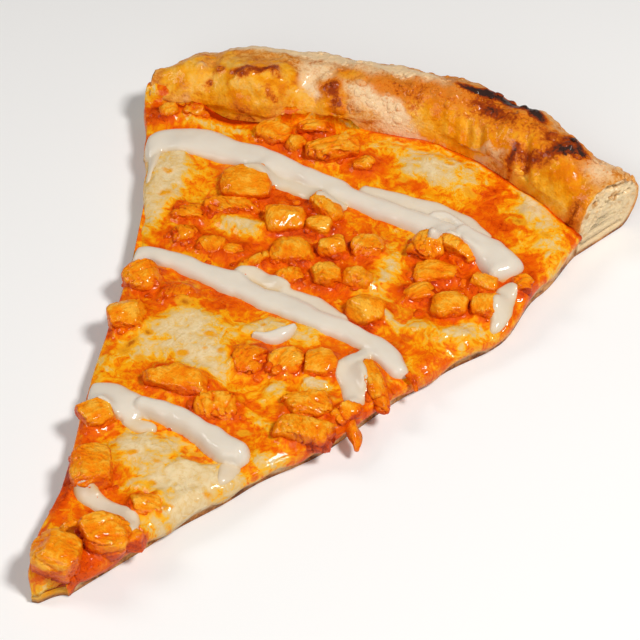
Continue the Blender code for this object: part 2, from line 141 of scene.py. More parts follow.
# Toasted spots on the pale cheese: x, y, half length, half width, turn in degrees, depth
CHEESE_SPOTS = (
    (-21.1, 114.0, 2.8, 1.9, 28, 0.9), (-24.3, 99.9, 1.6, 1.2, 20, 1.0), (-8.6, 107.6, 2.2, 1.3, 20, 0.7),
    (-3.5, 103.7, 1.5, 1.2, 0, 0.75), (-11.9, 97.9, 2.0, 1.4, 20, 0.7), (-7.4, 102.4, 0.8, 0.7, 0, 0.6),
    (-27.5, 92.4, 2.2, 1.8, 30, 0.8), (-21.7, 92.2, 2.0, 1.4, 0, 0.7), (-26.8, 95.4, 2.0, 1.0, 50, 1.1),
    (-0.9, 118.1, 1.5, 1.0, 20, 0.6), (1.8, 117.8, 1.0, 0.9, 0, 0.7), (15.6, 83.6, 2.4, 1.2, 30, 0.8),
    (8.6, 71.6, 2.2, 1.0, 30, 0.7), (9.8, 186.9, 2.2, 1.4, 10, 0.7), (29.7, 190.0, 2.6, 1.4, -10, 0.8),
    (48.9, 196.4, 2.0, 1.2, -20, 0.9), (56, 184, 1.8, 1.2, 0, 0.8), (47.6, 185.5, 2.4, 1.6, 0, 0.9),
    (-53, 157, 2.0, 1.4, 0, 0.6), (-49, 149, 2.6, 1.8, 40, 0.6), (20, 197, 1.6, 1.0, 0, 0.7),
    (1, 64, 1.6, 1.0, 20, 0.6), (-6, 63, 1.8, 1.0, 30, 0.7), (11, 52, 2.0, 1.2, 40, 0.9),
    (4, 57, 1.2, 0.9, 0, 0.8), (18, 61, 1.4, 0.9, 40, 0.6), (45, 140, 1.8, 1.0, 40, 0.6),
)
# Baked marks on the rim: x, y, half length, half width, turn in degrees, depth of browning
BAKED_MARKS = (
    (-47, 195.2, 3.8, 2.6, 24, 1.5), (-51.2, 193.4, 2.4, 1.6, 20, 1.0),
    (-40.2, 198.8, 2.8, 2.4, 10, 1.5), (-43.6, 197.4, 2, 1.4, 30, 0.9),
    (-56.6, 194.2, 2.2, 1.6, 10, 1.3), (-57.8, 189.4, 1.4, 2.0, 20, 1.0),
    (-38.8, 193.0, 2.2, 1.4, 0, 1.1), (-36, 196, 1.4, 2.2, -10, 0.7), (-47.5, 186.6, 9, 1.0, 20, 1.0),
    (-23.5, 203.4, 2.8, 3.2, -25, 1.4), (-20.5, 200.8, 2.6, 2.2, -40, 1.1), (-21, 209.5, 6, 3, 0, 0.45),
    (-10, 209.5, 6, 4, 0, 0.7), (-1, 210.5, 6, 4, -10, 0.8), (6, 213, 9, 4, -10, 0.45),
    (16, 213, 12, 4, -8, 0.5), (14, 219, 4, 1.6, 0, 1.7), (19, 220, 4, 1.6, -8, 2.1),
    (25, 221.5, 5, 2.4, -10, 2.4), (32, 220, 5, 2.6, -15, 2.4), (38, 217, 4, 2.2, -30, 2.2),
    (30, 213, 9, 3.4, -12, 1.05), (22, 216, 8, 3, -8, 0.9), (29, 208, 10, 4, -10, 0.45),
    (37, 203.6, 2.4, 2.2, 0, 1.2), (36.6, 200.6, 1.5, 3.0, 0, 1.0), (42, 203.2, 3.2, 1.9, 0, 0.95),
    (46.6, 203, 3.4, 2.0, 0, 1.1), (50, 205.6, 3.4, 2.2, 10, 1.1), (46, 205, 10, 4.4, 0, 0.35),
    (53.4, 207, 3, 2.2, 20, 1.15), (56.4, 209, 2, 2.4, 30, 1.3), (52.5, 211.5, 3.4, 2, -10, 1.5),
    (47, 209, 8, 3, -8, 0.75), (60.5, 192.5, 3, 2.6, 30, 1.1), (59, 205, 6, 6, 0, 0.4),
    (45, 212, 8, 3, -15, 0.7), (62, 197, 4, 4, 0, 0.45), (-66, 199, 5, 1.6, 30, 0.6),
    (-60, 204, 5, 1.6, 20, 0.5), (-30, 223, 12, 1.2, 8, 0.5), (0, 224, 12, 1.3, -3, 0.6),
)
# Bubbles, folds and creases of the rim: x, y, half length, half width, turn in degrees, rise
RIM_FORMS = (
    (-46.5, 194.5, 12.5, 6.4, 23, 2.8), (-47, 195.4, 3.0, 2.0, 24, 1.1), (-40.2, 199, 2.4, 2.0, 0, 1.1),
    (-56.6, 194.4, 1.8, 1.4, 10, 0.9), (-38.8, 193.2, 1.8, 1.2, 0, 0.6), (-43, 194, 2.4, 1.6, 0, 0.5),
    (-50, 192, 2.4, 1.6, 0, 0.4), (-61, 197, 2.2, 8, 24, -1.2), (-32, 200, 2.0, 7, -20, -1.5),
    (-67, 190, 4, 7, 20, 0.8), (-23.5, 203.5, 3.6, 4, -20, 1.1), (-14, 206, 8, 5, 0, 0.7),
    (-63, 193.5, 1.5, 1.5, 0, 0.8), (-66, 197, 4, 4, 0, 0.6), (15, 205, 1.3, 6, 24, 0.7),
    (19, 205.5, 1.3, 6, 24, 0.8), (23.5, 205.5, 1.4, 6, 26, 0.9), (28, 205.5, 1.5, 6, 28, 0.9),
    (33, 206, 6, 5, -10, 0.7), (41, 202, 1.5, 8, 28, -1.6), (49, 203, 8, 8, -20, 1.0),
    (58, 203, 1.3, 7, 20, -0.5), (29, 219, 12, 3, -12, 0.8), (52, 212, 5, 3, -12, 0.7),
    (3, 212, 12, 5, 0, 0.5), (8, 218, 2, 6, 10, -0.5),
)
# Golden oil that ran onto the rim
OILED_MARKS = (
    (0, 21, 9, 6, 0, 1.2), (-69, 191, 6, 8, 20, 1.3), (-46.5, 194, 13, 7, 23, 1.5),
    (-40, 201, 6, 4, 10, 1.0), (-56, 193, 5, 6, 20, 0.8), (-28, 197, 7, 3, 0, 0.9),
    (-20, 200, 5, 3, -30, 1.2), (-21, 209.5, 6, 2.5, 0, 0.8), (7, 208, 8, 2.6, -8, 1.2),
    (18, 206.8, 7, 2.0, -12, 1.1), (29, 209, 11, 3.6, -12, 1.0), (44, 201.5, 7, 3.6, -20, 0.8),
    (40, 211, 12, 4, -16, 0.8), (52, 199, 8, 3.6, -25, 0.9), (-62, 201, 8, 3, 25, 0.8),
    (58, 201, 5, 5, 0, 0.6), (-50, 188, 12, 4, 10, 0.8),
)
# Pale, floury or bubbly dough
FLOURED_MARKS = (
    (-64.5, 187.5, 2.6, 5, 24, 0.9), (-69, 192, 3, 2.4, 20, 0.6), (-55, 208, 12, 2.6, 25, 1.1),
    (-40, 213.5, 12, 3, 15, 1.2), (-24, 217, 14, 4, 5, 1.3), (-8, 218.5, 12, 4, 0, 1.1),
    (-30, 201, 4.5, 2.6, -40, 1.4), (-30, 208, 7, 4, 0, 1.0), (-13, 205, 8, 3, 0, 1.1),
    (-3, 204.8, 6, 2.6, -5, 1.2), (7, 204.6, 8, 1.7, -5, 1.3), (17, 204.6, 7, 1.4, -8, 1.3),
    (25, 205.4, 6, 1.5, -12, 1.2), (32, 204.5, 4, 1.8, -20, 0.8), (-61, 190, 3, 2, 20, 0.9),
    (-63, 194, 1.4, 1.4, 0, 1.2), (3, 217, 8, 3, -5, 0.6), (63, 208, 5, 6, -15, 0.7),
    (40, 202, 4, 1.8, -25, 0.6), (-16, 212, 6, 2, 0, 0.7), (61, 216, 5, 3, -20, 0.5),
    (61, 203, 5, 6, 20, 0.5),
)

# Strokes of ranch by drizzle: rise over what it lies on, then x, y and half width at each bend
RANCH_STROKES = {
    "ranch_by_the_rim": (
        (2.6, ((-64, 162, 3.6), (-61.5, 168, 5.0), (-53, 172.6, 5.8), (-42, 173.8, 5.2), (-30, 175, 4.2),
               (-16, 175.4, 3.3), (0, 173.6, 3.4), (12, 172.8, 3.3), (23, 173.4, 3.4), (33, 173, 3.4))),
        (3.8, ((35, 174, 2.6), (39, 172.6, 3.8), (45, 171, 5.0), (50, 168.6, 5.6))),
        (1.0, ((-62, 165, 2.8), (-60, 159, 2.8), (-57.5, 152, 1.6))),
        (0.9, ((-33, 169, 2.2), (-24, 169.6, 3.0), (-12, 170.2, 3.0), (-2, 168.6, 2.0))),
        (1.1, ((2, 178, 2.4), (12, 178.6, 3.4), (23, 179.4, 3.6), (32, 179, 3.8), (40, 176, 3.2))),
        (2.2, ((24, 176.6, 1.3), (28, 179, 1.5), (33.5, 177, 1.4), (37, 174, 1.5))),
        (2.6, ((28.6, 172, 2.2), (29.4, 166.8, 1.7))),
        (1.0, ((55.5, 160, 3.0), (56.5, 153, 3.0), (57, 148, 1.8))),
    ),
    "ranch_across_the_middle": (
        (2.4, ((-47.4, 119, 1.6), (-45.6, 123, 2.4), (-42, 126.6, 3.1), (-35, 128, 3.4), (-24, 128, 3.2),
               (-12, 127.6, 3.5), (2, 127.2, 3.4), (14, 127, 3.2), (26, 127, 3.6), (35, 125.6, 4.3),
               (40.5, 121.6, 2.8))),
        (0.9, ((-14, 132, 2.2), (-8, 134.4, 3.0), (-1, 133, 2.4))),
        (1.0, ((2, 131, 2.6), (11, 132.4, 3.6), (19, 130, 2.2))),
        (1.2, ((29, 117, 3.6), (32, 112.5, 4.4), (35.6, 106.5, 2.8))),
        (1.4, ((30, 121, 2.4), (29, 118, 2.2))),
    ),
    "ranch_near_the_tip": (
        (2.2, ((-28.5, 76, 2.8), (-24, 76.6, 4.6), (-18.5, 76.8, 5.4), (-14, 77, 4.4))),
        (0.9, ((-13, 72.6, 2.0), (-9.5, 72.4, 2.4), (-6.5, 73, 1.6))),
        (4.0, ((-12, 78, 2.6), (-6, 79, 3.3), (1, 78.4, 3.6), (10, 77, 4.0), (17, 76, 4.0))),
        (0.7, ((18.5, 71, 2.6), (19.5, 67, 2.2))),
    ),
    "ranch_splashes": (
        (1.8, ((1, 113.5, 0.7), (5, 114.5, 1.6), (8.5, 118, 2.2), (9.5, 121.5, 0.9))),
        (0.8, ((-10, 46.4, 2.0), (-2, 46.5, 2.6), (5, 45.8, 2.2), (9, 41.6, 0.9))),
    ),
}
# Torn threads: brightness, then x, y, z and radius at each bend
TORN_SHREDS = (
    (0.75, ((-10.5, 41.5, 5.6, 1.6), (-13, 40.6, 5.6, 1.6), (-15, 39.8, 5.2, 1.0), (-15.6, 39.4, 5.0, 0.4))),
    (0.3, ((-11.8, 46, 4.4, 1.6), (-11, 42, 5.2, 2.0), (-9.6, 38.5, 4.8, 1.9), (-8.4, 34.5, 4.2, 1.3))),
    (0.8, ((-7.2, 32.6, 9.5, 0.8), (-6.8, 34.4, 11.2, 1.0), (-5.2, 36.2, 11.6, 0.8),
           (-3.4, 36.4, 10.4, 0.4))),
    (0.6, ((37, 100.5, 6.4, 1.6), (39.5, 98.6, 5.6, 1.7), (41.6, 96.4, 4.4, 1.3), (42.6, 94.6, 3.6, 0.5))),
    (0.4, ((44, 121, 8.4, 0.9), (46.5, 120, 7.6, 0.9), (48, 118.2, 6.2, 0.5))),
    (0.3, ((-17, 63, 6.0, 1.2), (-17.6, 60, 5.4, 1.6), (-16, 56, 5.2, 1.5), (-14.4, 52, 4.6, 0.9))),
)
RANCH_GRID = 0.45           # spacing of the poured surface
RANCH_SINK = 1.2            # how steeply a stroke's edge dives into the cheese

SIDE_CRUMB = 0.85           # how much of the thin base's cut side is white crumb, at its top
VOXEL = 0.44                # chicken surface
CHUNK_SWELL = 1.3           # finished chunks are a little wider than their solids
FIBRE_WIDTH = 0.0009        # muscle fibres of the chicken, in metres


# ---------------------------------------------------------------- shapes


def smoothstep(low, high, value):
    """0 below low, 1 above high, with a soft turn at both."""
    t = np.clip((np.asarray(value, float) - low) / (high - low), 0, 1)
    return t * t * (3 - 2 * t)


def read_table(table, value):
    """Soft steps between the rows of a (place, size) table."""
    places = np.array([row[0] for row in table], float)
    sizes = np.array([row[1] for row in table], float)
    value = np.clip(np.asarray(value, float), places[0], places[-1])
    k = np.clip(np.searchsorted(places, value, side="left") - 1, 0, len(places) - 2)
    t = (value - places[k]) / (places[k + 1] - places[k])
    return sizes[k] + (sizes[k + 1] - sizes[k]) * t * t * (3 - 2 * t)


def cut_angle(side, radius):
    """Angle from the mid-line of the left (-1) or right (+1) cut at a radius."""
    table = LEFT_CUT if side < 0 else RIGHT_CUT
    return side * np.arcsin(np.minimum(sin(HALF_ANGLE) + read_table(table, radius) / radius, 0.9))


def place(radius, share, overhang=0.0):
    """x, y at a radius and at a share of the way from the left cut to the right one."""
    left = cut_angle(-1, radius) - overhang / radius
    right = cut_angle(1, radius) + overhang / radius
    angle = left + (right - left) * share
    return radius * np.sin(angle), radius * np.cos(angle)


def share_of(x, y):
    """Radius, and share of the way from the left cut to the right one, of a place on the slice."""
    radius = np.maximum(np.hypot(x, y), 1.0)
    left, right = cut_angle(-1, radius), cut_angle(1, radius)
    return radius, (np.arctan2(x, y) - left) / (right - left)


def grain(x, y, z, size, seed=0.0):
    """Smooth noise from -1 to 1 with lumps of about a size."""
    x, y, z = np.broadcast_arrays(x, y, z)
    flat = zip(x.ravel() / size + seed, y.ravel() / size - seed, z.ravel() / size)
    values = np.fromiter((noise.noise(Vector(spot)) for spot in flat), float, x.size)
    return values.reshape(x.shape)


def marks(table, x, y):
    """Sum of the soft oval marks of a table at a place."""
    total = np.zeros(np.shape(x))
    for mark_x, mark_y, half, width, turn, strength in table:
        c, s = cos(radians(turn)), sin(radians(turn))
        along = ((x - mark_x) * c + (y - mark_y) * s) / half
        across = ((y - mark_y) * c - (x - mark_x) * s) / width
        total += strength * np.exp(-(along ** 2 + across ** 2) ** 1.3)
    return total


def tip_radius(share):
    """Where the base begins: a flap of dough at the left of the tip, cut back towards the right."""
    return TIP_RADIUS - 1.6 + 4.6 * smoothstep(0.25, 1.0, share)


def base_height(radius):
    """Top of the dough base."""
    return DOUGH_THICKNESS + (DOUGH_AT_RIM - DOUGH_THICKNESS) * smoothstep(THICKENS_FROM, THICKENS_TO, radius)


def bed_height(radius):
    """Top of the sauce."""
    return base_height(radius) + 2 * GAP + SAUCE_THICKNESS


def rim_sizes(share):
    """Foot radius, outer radius and crest height of the rim at a share of the way across."""
    foot, outer, crest = (read_table(table, share) for table in (RIM_FOOT, RIM_OUTER, RIM_CREST))
    for middle, half_width, rise in RIM_BUBBLES:
        swell = rise * np.exp(-((share - middle) / half_width) ** 2)
        crest = crest + swell
        outer = outer + 0.4 * swell
    return foot, outer, crest


def rim_height(radius, share):
    """Height of the rim's upper face at a radius, and the base's where the rim hasn't begun."""
    foot, outer, crest = rim_sizes(share)
    turn = np.arccos(np.clip((radius - (foot + outer) / 2) / ((outer - foot) / 2), -1, 1))
    low = base_height(foot) + (RIM_MIDDLE - base_height(foot)) * (1 - turn / pi)
    steep = np.where(turn > pi / 2, RIM_STEEPNESS, 0.8)
    return np.where(radius > foot, low + (crest - low) * np.sin(turn) ** steep, base_height(radius))


def dice_tree():
    """Search tree over every piece of chicken of the frame, in metres."""
    corners, faces = [], []
    for name in sorted(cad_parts):
        if name.startswith("chicken"):
            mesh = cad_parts[name].data
            start = len(corners)
            corners += [tuple(vert.co) for vert in mesh.vertices]
            faces += [tuple(start + index for index in face.vertices) for face in mesh.polygons]
    return BVHTree.FromPolygons(corners, faces)


def gap_to_dice(x, y, z):
    """Distance from each place to the nearest piece of chicken."""
    tree = dice_tree()
    spots = zip(x.ravel() * MM, (y.ravel() - ORIGIN_RADIUS) * MM, z.ravel() * MM)
    gaps = [tree.find_nearest(Vector(spot), 0.012)[3] for spot in spots]
    return np.array([12.0 if gap is None else gap / MM for gap in gaps]).reshape(x.shape)


def cheese_height(x, y):
    """Top of the cheese: a rippled sheet with thicker melted patches."""
    radius = np.hypot(x, y)
    height = bed_height(radius) + CHEESE_THICKNESS
    for mound_x, mound_y, half_x, half_y, rise in CHEESE_MOUNDS:
        far = ((x - mound_x) / half_x) ** 2 + ((y - mound_y) / half_y) ** 2
        height = height + rise * np.exp(-far * far)
    return height + 0.45 * grain(x, y, 0 * x, 1 / 0.11)


# ---------------------------------------------------------------- meshes


def add_attribute(mesh, label, values):
    """One number for each point, which the materials read."""
    layer = mesh.attributes.new(label, "FLOAT", "POINT")
    layer.data.foreach_set("value", np.asarray(values, np.float32).ravel())


def mesh_of(name, points, faces, fields=None):
    """A mesh in metres about the slice's origin, from millimetres about the pizza's middle."""
    mesh = bpy.data.meshes.new(name)
    placed = (np.asarray(points, float) - (0, ORIGIN_RADIUS, 0)) * MM
    mesh.from_pydata(placed.tolist(), [], faces)
    for label, values in (fields or {}).items():
        add_attribute(mesh, label, values)
    mesh.shade_smooth()
    return mesh


def finish_piece(name, mesh, material, replaced=()):
    """Put a mesh in the scene as a piece of the slice."""
    piece = bpy.data.objects.new(name, mesh)
    bpy.context.scene.collection.objects.link(piece)
    mesh.materials.clear()
    mesh.materials.append(material)
    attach(piece, BODY)
    if replaced:
        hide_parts(*replaced)
    return piece


def turn_outwards(mesh):
    """Point every face of a closed mesh outwards."""
    bm = bmesh.new()
    bm.from_mesh(mesh)
    bmesh.ops.recalc_face_normals(bm, faces=bm.faces)
    bm.to_mesh(mesh)
    bm.free()


def grid_faces(rows, columns, start=0):
    """Quads of a grid of points that is stored row by row."""
    faces = []
    for i in range(rows - 1):
        for j in range(columns - 1):
            a = start + i * columns + j
            faces.append((a, a + 1, a + columns + 1, a + columns))
    return faces


def border_of(rows, columns):
    """The points round the edge of such a grid, in order."""
    first = list(range(columns))
    right = [i * columns + columns - 1 for i in range(1, rows)]
    last = [(rows - 1) * columns + j for j in range(columns - 2, -1, -1)]
    left = [i * columns for i in range(rows - 2, 0, -1)]
    return first + right + last + left


# ---------------------------------------------------------------- materials


def hex_colour(text):
    """Linear colour from an sRGB hex value."""
    channels = [int(text[i:i + 2], 16) / 255 for i in (1, 3, 5)]
    return tuple(c / 12.92 if c <= 0.04045 else ((c + 0.055) / 1.055) ** 2.4 for c in channels) + (1.0,)


def add_node(material, kind, settings=None, **links):
    """Add a node; settings name its properties or inputs, links name inputs fed by other sockets."""
    tree = material.node_tree
    node = tree.nodes.new(kind)
    for label, value in (settings or {}).items():
        if isinstance(label, int) or label in node.inputs:
            node.inputs[label].default_value = value
        else:
            setattr(node, label, value)
    for label, socket in links.items():
        index = int(label[1:]) if label[0] == "_" and label[1:].isdigit() else label.replace("_", " ")
        tree.links.new(socket, node.inputs[index])
    return node


def new_material(name):
    """A material with a Principled shader, and that shader."""
    material = bpy.data.materials.new(name)
    material.use_nodes = True
    return material, material.node_tree.nodes["Principled BSDF"]


def attribute(material, label):
    """The value of a point attribute."""
    return add_node(material, "ShaderNodeAttribute", {"attribute_name": label}).outputs["Fac"]


def noise_of(material, size_mm, detail=3.0, roughness=0.55, distortion=0.0):
    """Noise in object space whose lumps are about a size in millimetres."""
    socket = add_node(material, "ShaderNodeTexCoord").outputs["Object"]
    return add_node(material, "ShaderNodeTexNoise",
                    {"Scale": 1 / (size_mm * MM), "Detail": detail, "Roughness": roughness,
                     "Distortion": distortion}, Vector=socket).outputs["Fac"]


def lumps_of(material, size_mm, detail=3.0, roughness=0.55, distortion=0.0):
    """The same noise, spread to run from about -1 to 1."""
    fac = noise_of(material, size_mm, detail, roughness, distortion)
    return add_node(material, "ShaderNodeMapRange",
                    {"From Min": 0.3, "From Max": 0.7, "To Min": -1.0, "To Max": 1.0, "clamp": False},
                    Value=fac).outputs["Result"]


def blend(material, share, first, second):
    """Mix of two colours, each a hex value or a socket, by a socket from 0 to 1."""
    node = add_node(material, "ShaderNodeMix", {"data_type": "RGBA"})
    tree = material.node_tree
    for index, value in ((6, first), (7, second)):
        if isinstance(value, str):
            node.inputs[index].default_value = hex_colour(value)
        else:
            tree.links.new(value, node.inputs[index])
    tree.links.new(share, node.inputs[0])
    return node.outputs[2]


def ramp(material, value, stops):
    """Colour ramp: stops are (place, hex)."""
    node = add_node(material, "ShaderNodeValToRGB", Fac=value)
    elements = node.color_ramp.elements
    while len(elements) < len(stops):
        elements.new(0.5)
    for element, (where, colour) in zip(elements, stops):
        element.position = where
        element.color = hex_colour(colour)
    return node.outputs["Color"]


def spread(material, value, low, high, start=0.0, end=1.0):
    """Map a number from low..high to start..end, clamped."""
    return add_node(material, "ShaderNodeMapRange",
                    {"From Min": low, "From Max": high, "To Min": start, "To Max": end},
                    Value=value).outputs["Result"]


def sum_of(material, *terms):
    """Sum of sockets or (socket, factor) pairs."""
    total = None
    for term in terms:
        socket, factor = term if isinstance(term, tuple) else (term, 1.0)
        if total is None:
            node = add_node(material, "ShaderNodeMath", {"operation": "MULTIPLY", 1: factor}, _0=socket)
        else:
            node = add_node(material, "ShaderNodeMath", {"operation": "MULTIPLY_ADD", 1: factor},
                            _0=socket, _2=total)
        total = node.outputs[0]
    return total


def bump(material, height, strength, depth_mm):
    """Bump whose full height is a depth in millimetres."""
    return add_node(material, "ShaderNodeBump", {"Strength": strength, "Distance": depth_mm * MM},
                    Height=height).outputs["Normal"]


def wire(material, shader, **links):
    """Link sockets to the shader's inputs."""
    for label, socket in links.items():
        material.node_tree.links.new(socket, shader.inputs[label.replace("_", " ")])


def gloss(shader, roughness, coat, coat_roughness, glow=0.0, radius_mm=1.0, tint=(1.0, 0.4, 0.2)):
    """Set the wet sheen and the soft light inside food."""
    shader.inputs["Roughness"].default_value = roughness
    shader.inputs["Specular IOR Level"].default_value = 0.05
    shader.inputs["Coat Weight"].default_value = coat
    shader.inputs["Coat Roughness"].default_value = coat_roughness
    if glow:
        shader.inputs["Subsurface Weight"].default_value = glow
        shader.inputs["Subsurface Radius"].default_value = tint
        shader.inputs["Subsurface Scale"].default_value = radius_mm * MM


def melted_cheese():
    """Melted mozzarella under hot buffalo oil: pale where thick, amber at its edges, red where sauced, with
    painted shade beside the chicken and along the rim's foot.
    """
    material, shader = new_material("melted mozzarella in buffalo oil")
    broad = lumps_of(material, 9.0, 2.0, 0.5, 1.4)
    lumps = lumps_of(material, 4.6, 3.0, 0.45, 1.8)
    fine = lumps_of(material, 1.2, 2.0, 0.5, 0.8)
    specks = lumps_of(material, 0.6, 2.0, 0.6)
    bend = lumps_of(material, 5.0, 3.0, 0.5, 1.6)
    vein = add_node(material, "ShaderNodeMath", {"operation": "ABSOLUTE"}, _0=bend).outputs[0]
    vein = spread(material, vein, 0.0, 0.16, 1.0, 0.0)
    # The cheese attribute mixes the cheese's own pale-to-sauced tone with painted shade beside the chicken
    # and along the rim's foot.
    mixed = sum_of(material, attribute(material, "cheese_tone_and_shade"), (broad, 0.16), (lumps, 0.28), (fine, 0.06),
                   (vein, -0.24))
    colour = ramp(material, spread(material, mixed, -1.0, 1.0), (
        (0.0, "#A62A00"), (0.16, "#CC4200"), (0.32, "#E25600"), (0.43, "#E96A00"), (0.52, "#F08A00"),
        (0.60, "#F4A60E"), (0.66, "#EEB236"), (0.72, "#E4B662"), (0.82, "#E0BE84"), (1.0, "#E8CE9E")))
    spots = sum_of(material, attribute(material, "browned"), (lumps, 0.14), (fine, 0.12))
    colour = blend(material, spread(material, spots, 0.25, 0.6), colour, "#E89A18")
    colour = blend(material, spread(material, spots, 0.75, 1.1), colour, "#B86208")
    pepper = sum_of(material, (attribute(material, "cheese_tone_and_shade"), -0.5), (specks, 0.5))
    colour = blend(material, spread(material, pepper, 0.5, 0.7, 0.0, 0.6), colour, "#8C2600")
    relief = sum_of(material, (fine, 0.2), (lumps, 0.26), (vein, -0.12), (specks, 0.05))
    sheen = spread(material, mixed, -0.7, 0.1, 0.1, 0.36)
    wire(material, shader, Base_Color=colour, Coat_Weight=sheen, Normal=bump(material, relief, 0.45, 0.7))
    gloss(shader, 0.42, 0.32, 0.06, 0.06, 0.8, (1.0, 0.5, 0.22))
    return material


def sauced_chicken():
    """Grilled chicken breast tossed in buffalo sauce: amber flesh with painted light on its upper faces, red
    glaze with painted shade in the creases and low sides.
    """
    material, shader = new_material(CHICKEN_FINISH)
    strand = add_node(material, "ShaderNodeAttribute", {"attribute_name": "strand"}).outputs["Vector"]
    threads = add_node(material, "ShaderNodeTexNoise",
                       {"Scale": 1 / FIBRE_WIDTH, "Detail": 3.0, "Roughness": 0.6},
                       Vector=strand).outputs["Fac"]
    threads = add_node(material, "ShaderNodeMapRange",
                       {"From Min": 0.3, "From Max": 0.7, "To Min": -1.0, "To Max": 1.0, "clamp": False},
                       Value=threads).outputs["Result"]
    lumps = lumps_of(material, 4.5, 3.0, 0.6)
    fine = lumps_of(material, 0.9, 3.0, 0.65)
    # The rise attribute brings painted light on the chunks' upper faces and painted shade in their creases
    # and low sides, mixed with the red glaze.
    mixed = sum_of(material, attribute(material, "rise"), (attribute(material, "tone"), 0.05), (lumps, 0.24),
                   (threads, 0.1), (fine, 0.1))
    colour = ramp(material, mixed, (
        (0.0, "#A02A00"), (0.2, "#CA4000"), (0.38, "#E65800"), (0.54, "#F47200"), (0.72, "#FB8A04"),
        (0.88, "#FC9A12"), (1.0, "#FFB234")))
    relief = sum_of(material, (threads, 0.26), (fine, 0.25))
    wire(material, shader, Base_Color=colour, Normal=bump(material, relief, 0.9, 0.6))
    gloss(shader, 0.45, 0.36, 0.08, 0.05, 0.6, (1.0, 0.42, 0.16))
    return material


def ranch_dressing():
    """Thick ranch: an opaque cream emulsion that pours smooth and shines like satin."""
    material, shader = new_material("ranch dressing")
    share = sum_of(material, attribute(material, "thin"), (lumps_of(material, 6.0, 2.0), 0.12))
    colour = ramp(material, share, ((0.0, "#DED2C0"), (0.5, "#DCCAB0"), (0.8, "#DABC90"), (1.0, "#DCA868")))
    wire(material, shader, Base_Color=colour)
    gloss(shader, 0.3, 0.45, 0.1, 0.2, 1.6, (1.0, 0.82, 0.62))
    return material


def hot_sauce():
    """Cayenne and butter sauce: a wet, deep orange-red film."""
    material, shader = new_material("buffalo hot sauce")
    colour = ramp(material, noise_of(material, 3.0), ((0.3, "#9A2600"), (0.7, "#C84A06")))
    wire(material, shader, Base_Color=colour, Normal=bump(material, noise_of(material, 1.2), 0.4, 0.3))
    gloss(shader, 0.3, 0.4, 0.1)
    return material


def baked_crust():
    """Stone-baked wheat dough: matt tan skin, golden where oiled, leopard spots and open white crumb with
    painted shade in its holes.
    """
    material, shader = new_material("stone-baked wheat crust")
    broad = lumps_of(material, 9.0, 4.0, 0.6, 0.5)
    lumps = lumps_of(material, 2.6, 4.0, 0.65, 0.5)
    speck = lumps_of(material, 0.8, 3.0, 0.7)
    tan = sum_of(material, (broad, 0.3), (speck, 0.3), (lumps, 0.4))
    skin = ramp(material, spread(material, tan, -1.0, 1.0), (
        (0.25, "#C86C1C"), (0.45, "#DA8830"), (0.6, "#E5A050"), (0.8, "#ECBA74")))
    pale = sum_of(material, attribute(material, "floured"), (speck, 0.25), (lumps, 0.3))
    skin = blend(material, spread(material, pale, 0.2, 1.1), skin, "#F4D0A0")
    oiled = sum_of(material, attribute(material, "oiled"), (lumps, 0.3), (broad, 0.2), (speck, 0.1))
    oil = ramp(material, spread(material, sum_of(material, (broad, 0.7), (lumps, 0.25)), -1.0, 1.0), (
        (0.2, "#E47A00"), (0.42, "#F09404"), (0.6, "#F8AC28"), (0.85, "#F6C060")))
    skin = blend(material, spread(material, oiled, 0.25, 0.85), skin, oil)
    browning = sum_of(material, attribute(material, "browned"), (broad, 0.1), (speck, 0.3), (lumps, 0.4))
    skin = blend(material, spread(material, browning, 0.3, 0.9), skin, "#E07814")
    skin = blend(material, spread(material, browning, 0.85, 1.35), skin, "#A03C08")
    skin = blend(material, spread(material, browning, 1.5, 2.1), skin, "#3A2620")
    scorch = sum_of(material, (broad, 0.4), (speck, 0.3), (lumps, 0.3))
    under = ramp(material, spread(material, scorch, -1.0, 1.0), (
        (0.3, "#DC9C54"), (0.48, "#B06A28"), (0.66, "#6E3812")))
    skin = blend(material, attribute(material, "under"), skin, under)
    # Painted shade: the crumb is darker the deeper its air holes go; the speckle is the crumb's own tone.
    crumb_tone_and_hole_shade = sum_of(material, attribute(material, "hole_shade"), (speck, 0.1))
    crumb = ramp(material, crumb_tone_and_hole_shade, (
        (0.0, "#EED2A4"), (0.3, "#DCAE74"), (0.6, "#B07A42"), (1.0, "#7A4A22")))
    skin = blend(material, attribute(material, "crumb"), skin, crumb)
    relief = sum_of(material, (speck, 0.3), (lumps, 0.3))
    shine = spread(material, oiled, 0.2, 0.9, 0.6, 0.3)
    wire(material, shader, Base_Color=skin, Roughness=shine, Normal=bump(material, relief, 0.6, 0.5))
    gloss(shader, 0.5, 0.25, 0.12, 0.06, 0.8, (1.0, 0.6, 0.3))
    return material


def pale_table():
    """Matt painted board: a plain pale floor."""
    material, shader = new_material("plain pale table")
    shader.inputs["Base Color"].default_value = hex_colour("#F4F2EF")
    shader.inputs["Roughness"].default_value = 0.9
    return material


# ---------------------------------------------------------------- pieces


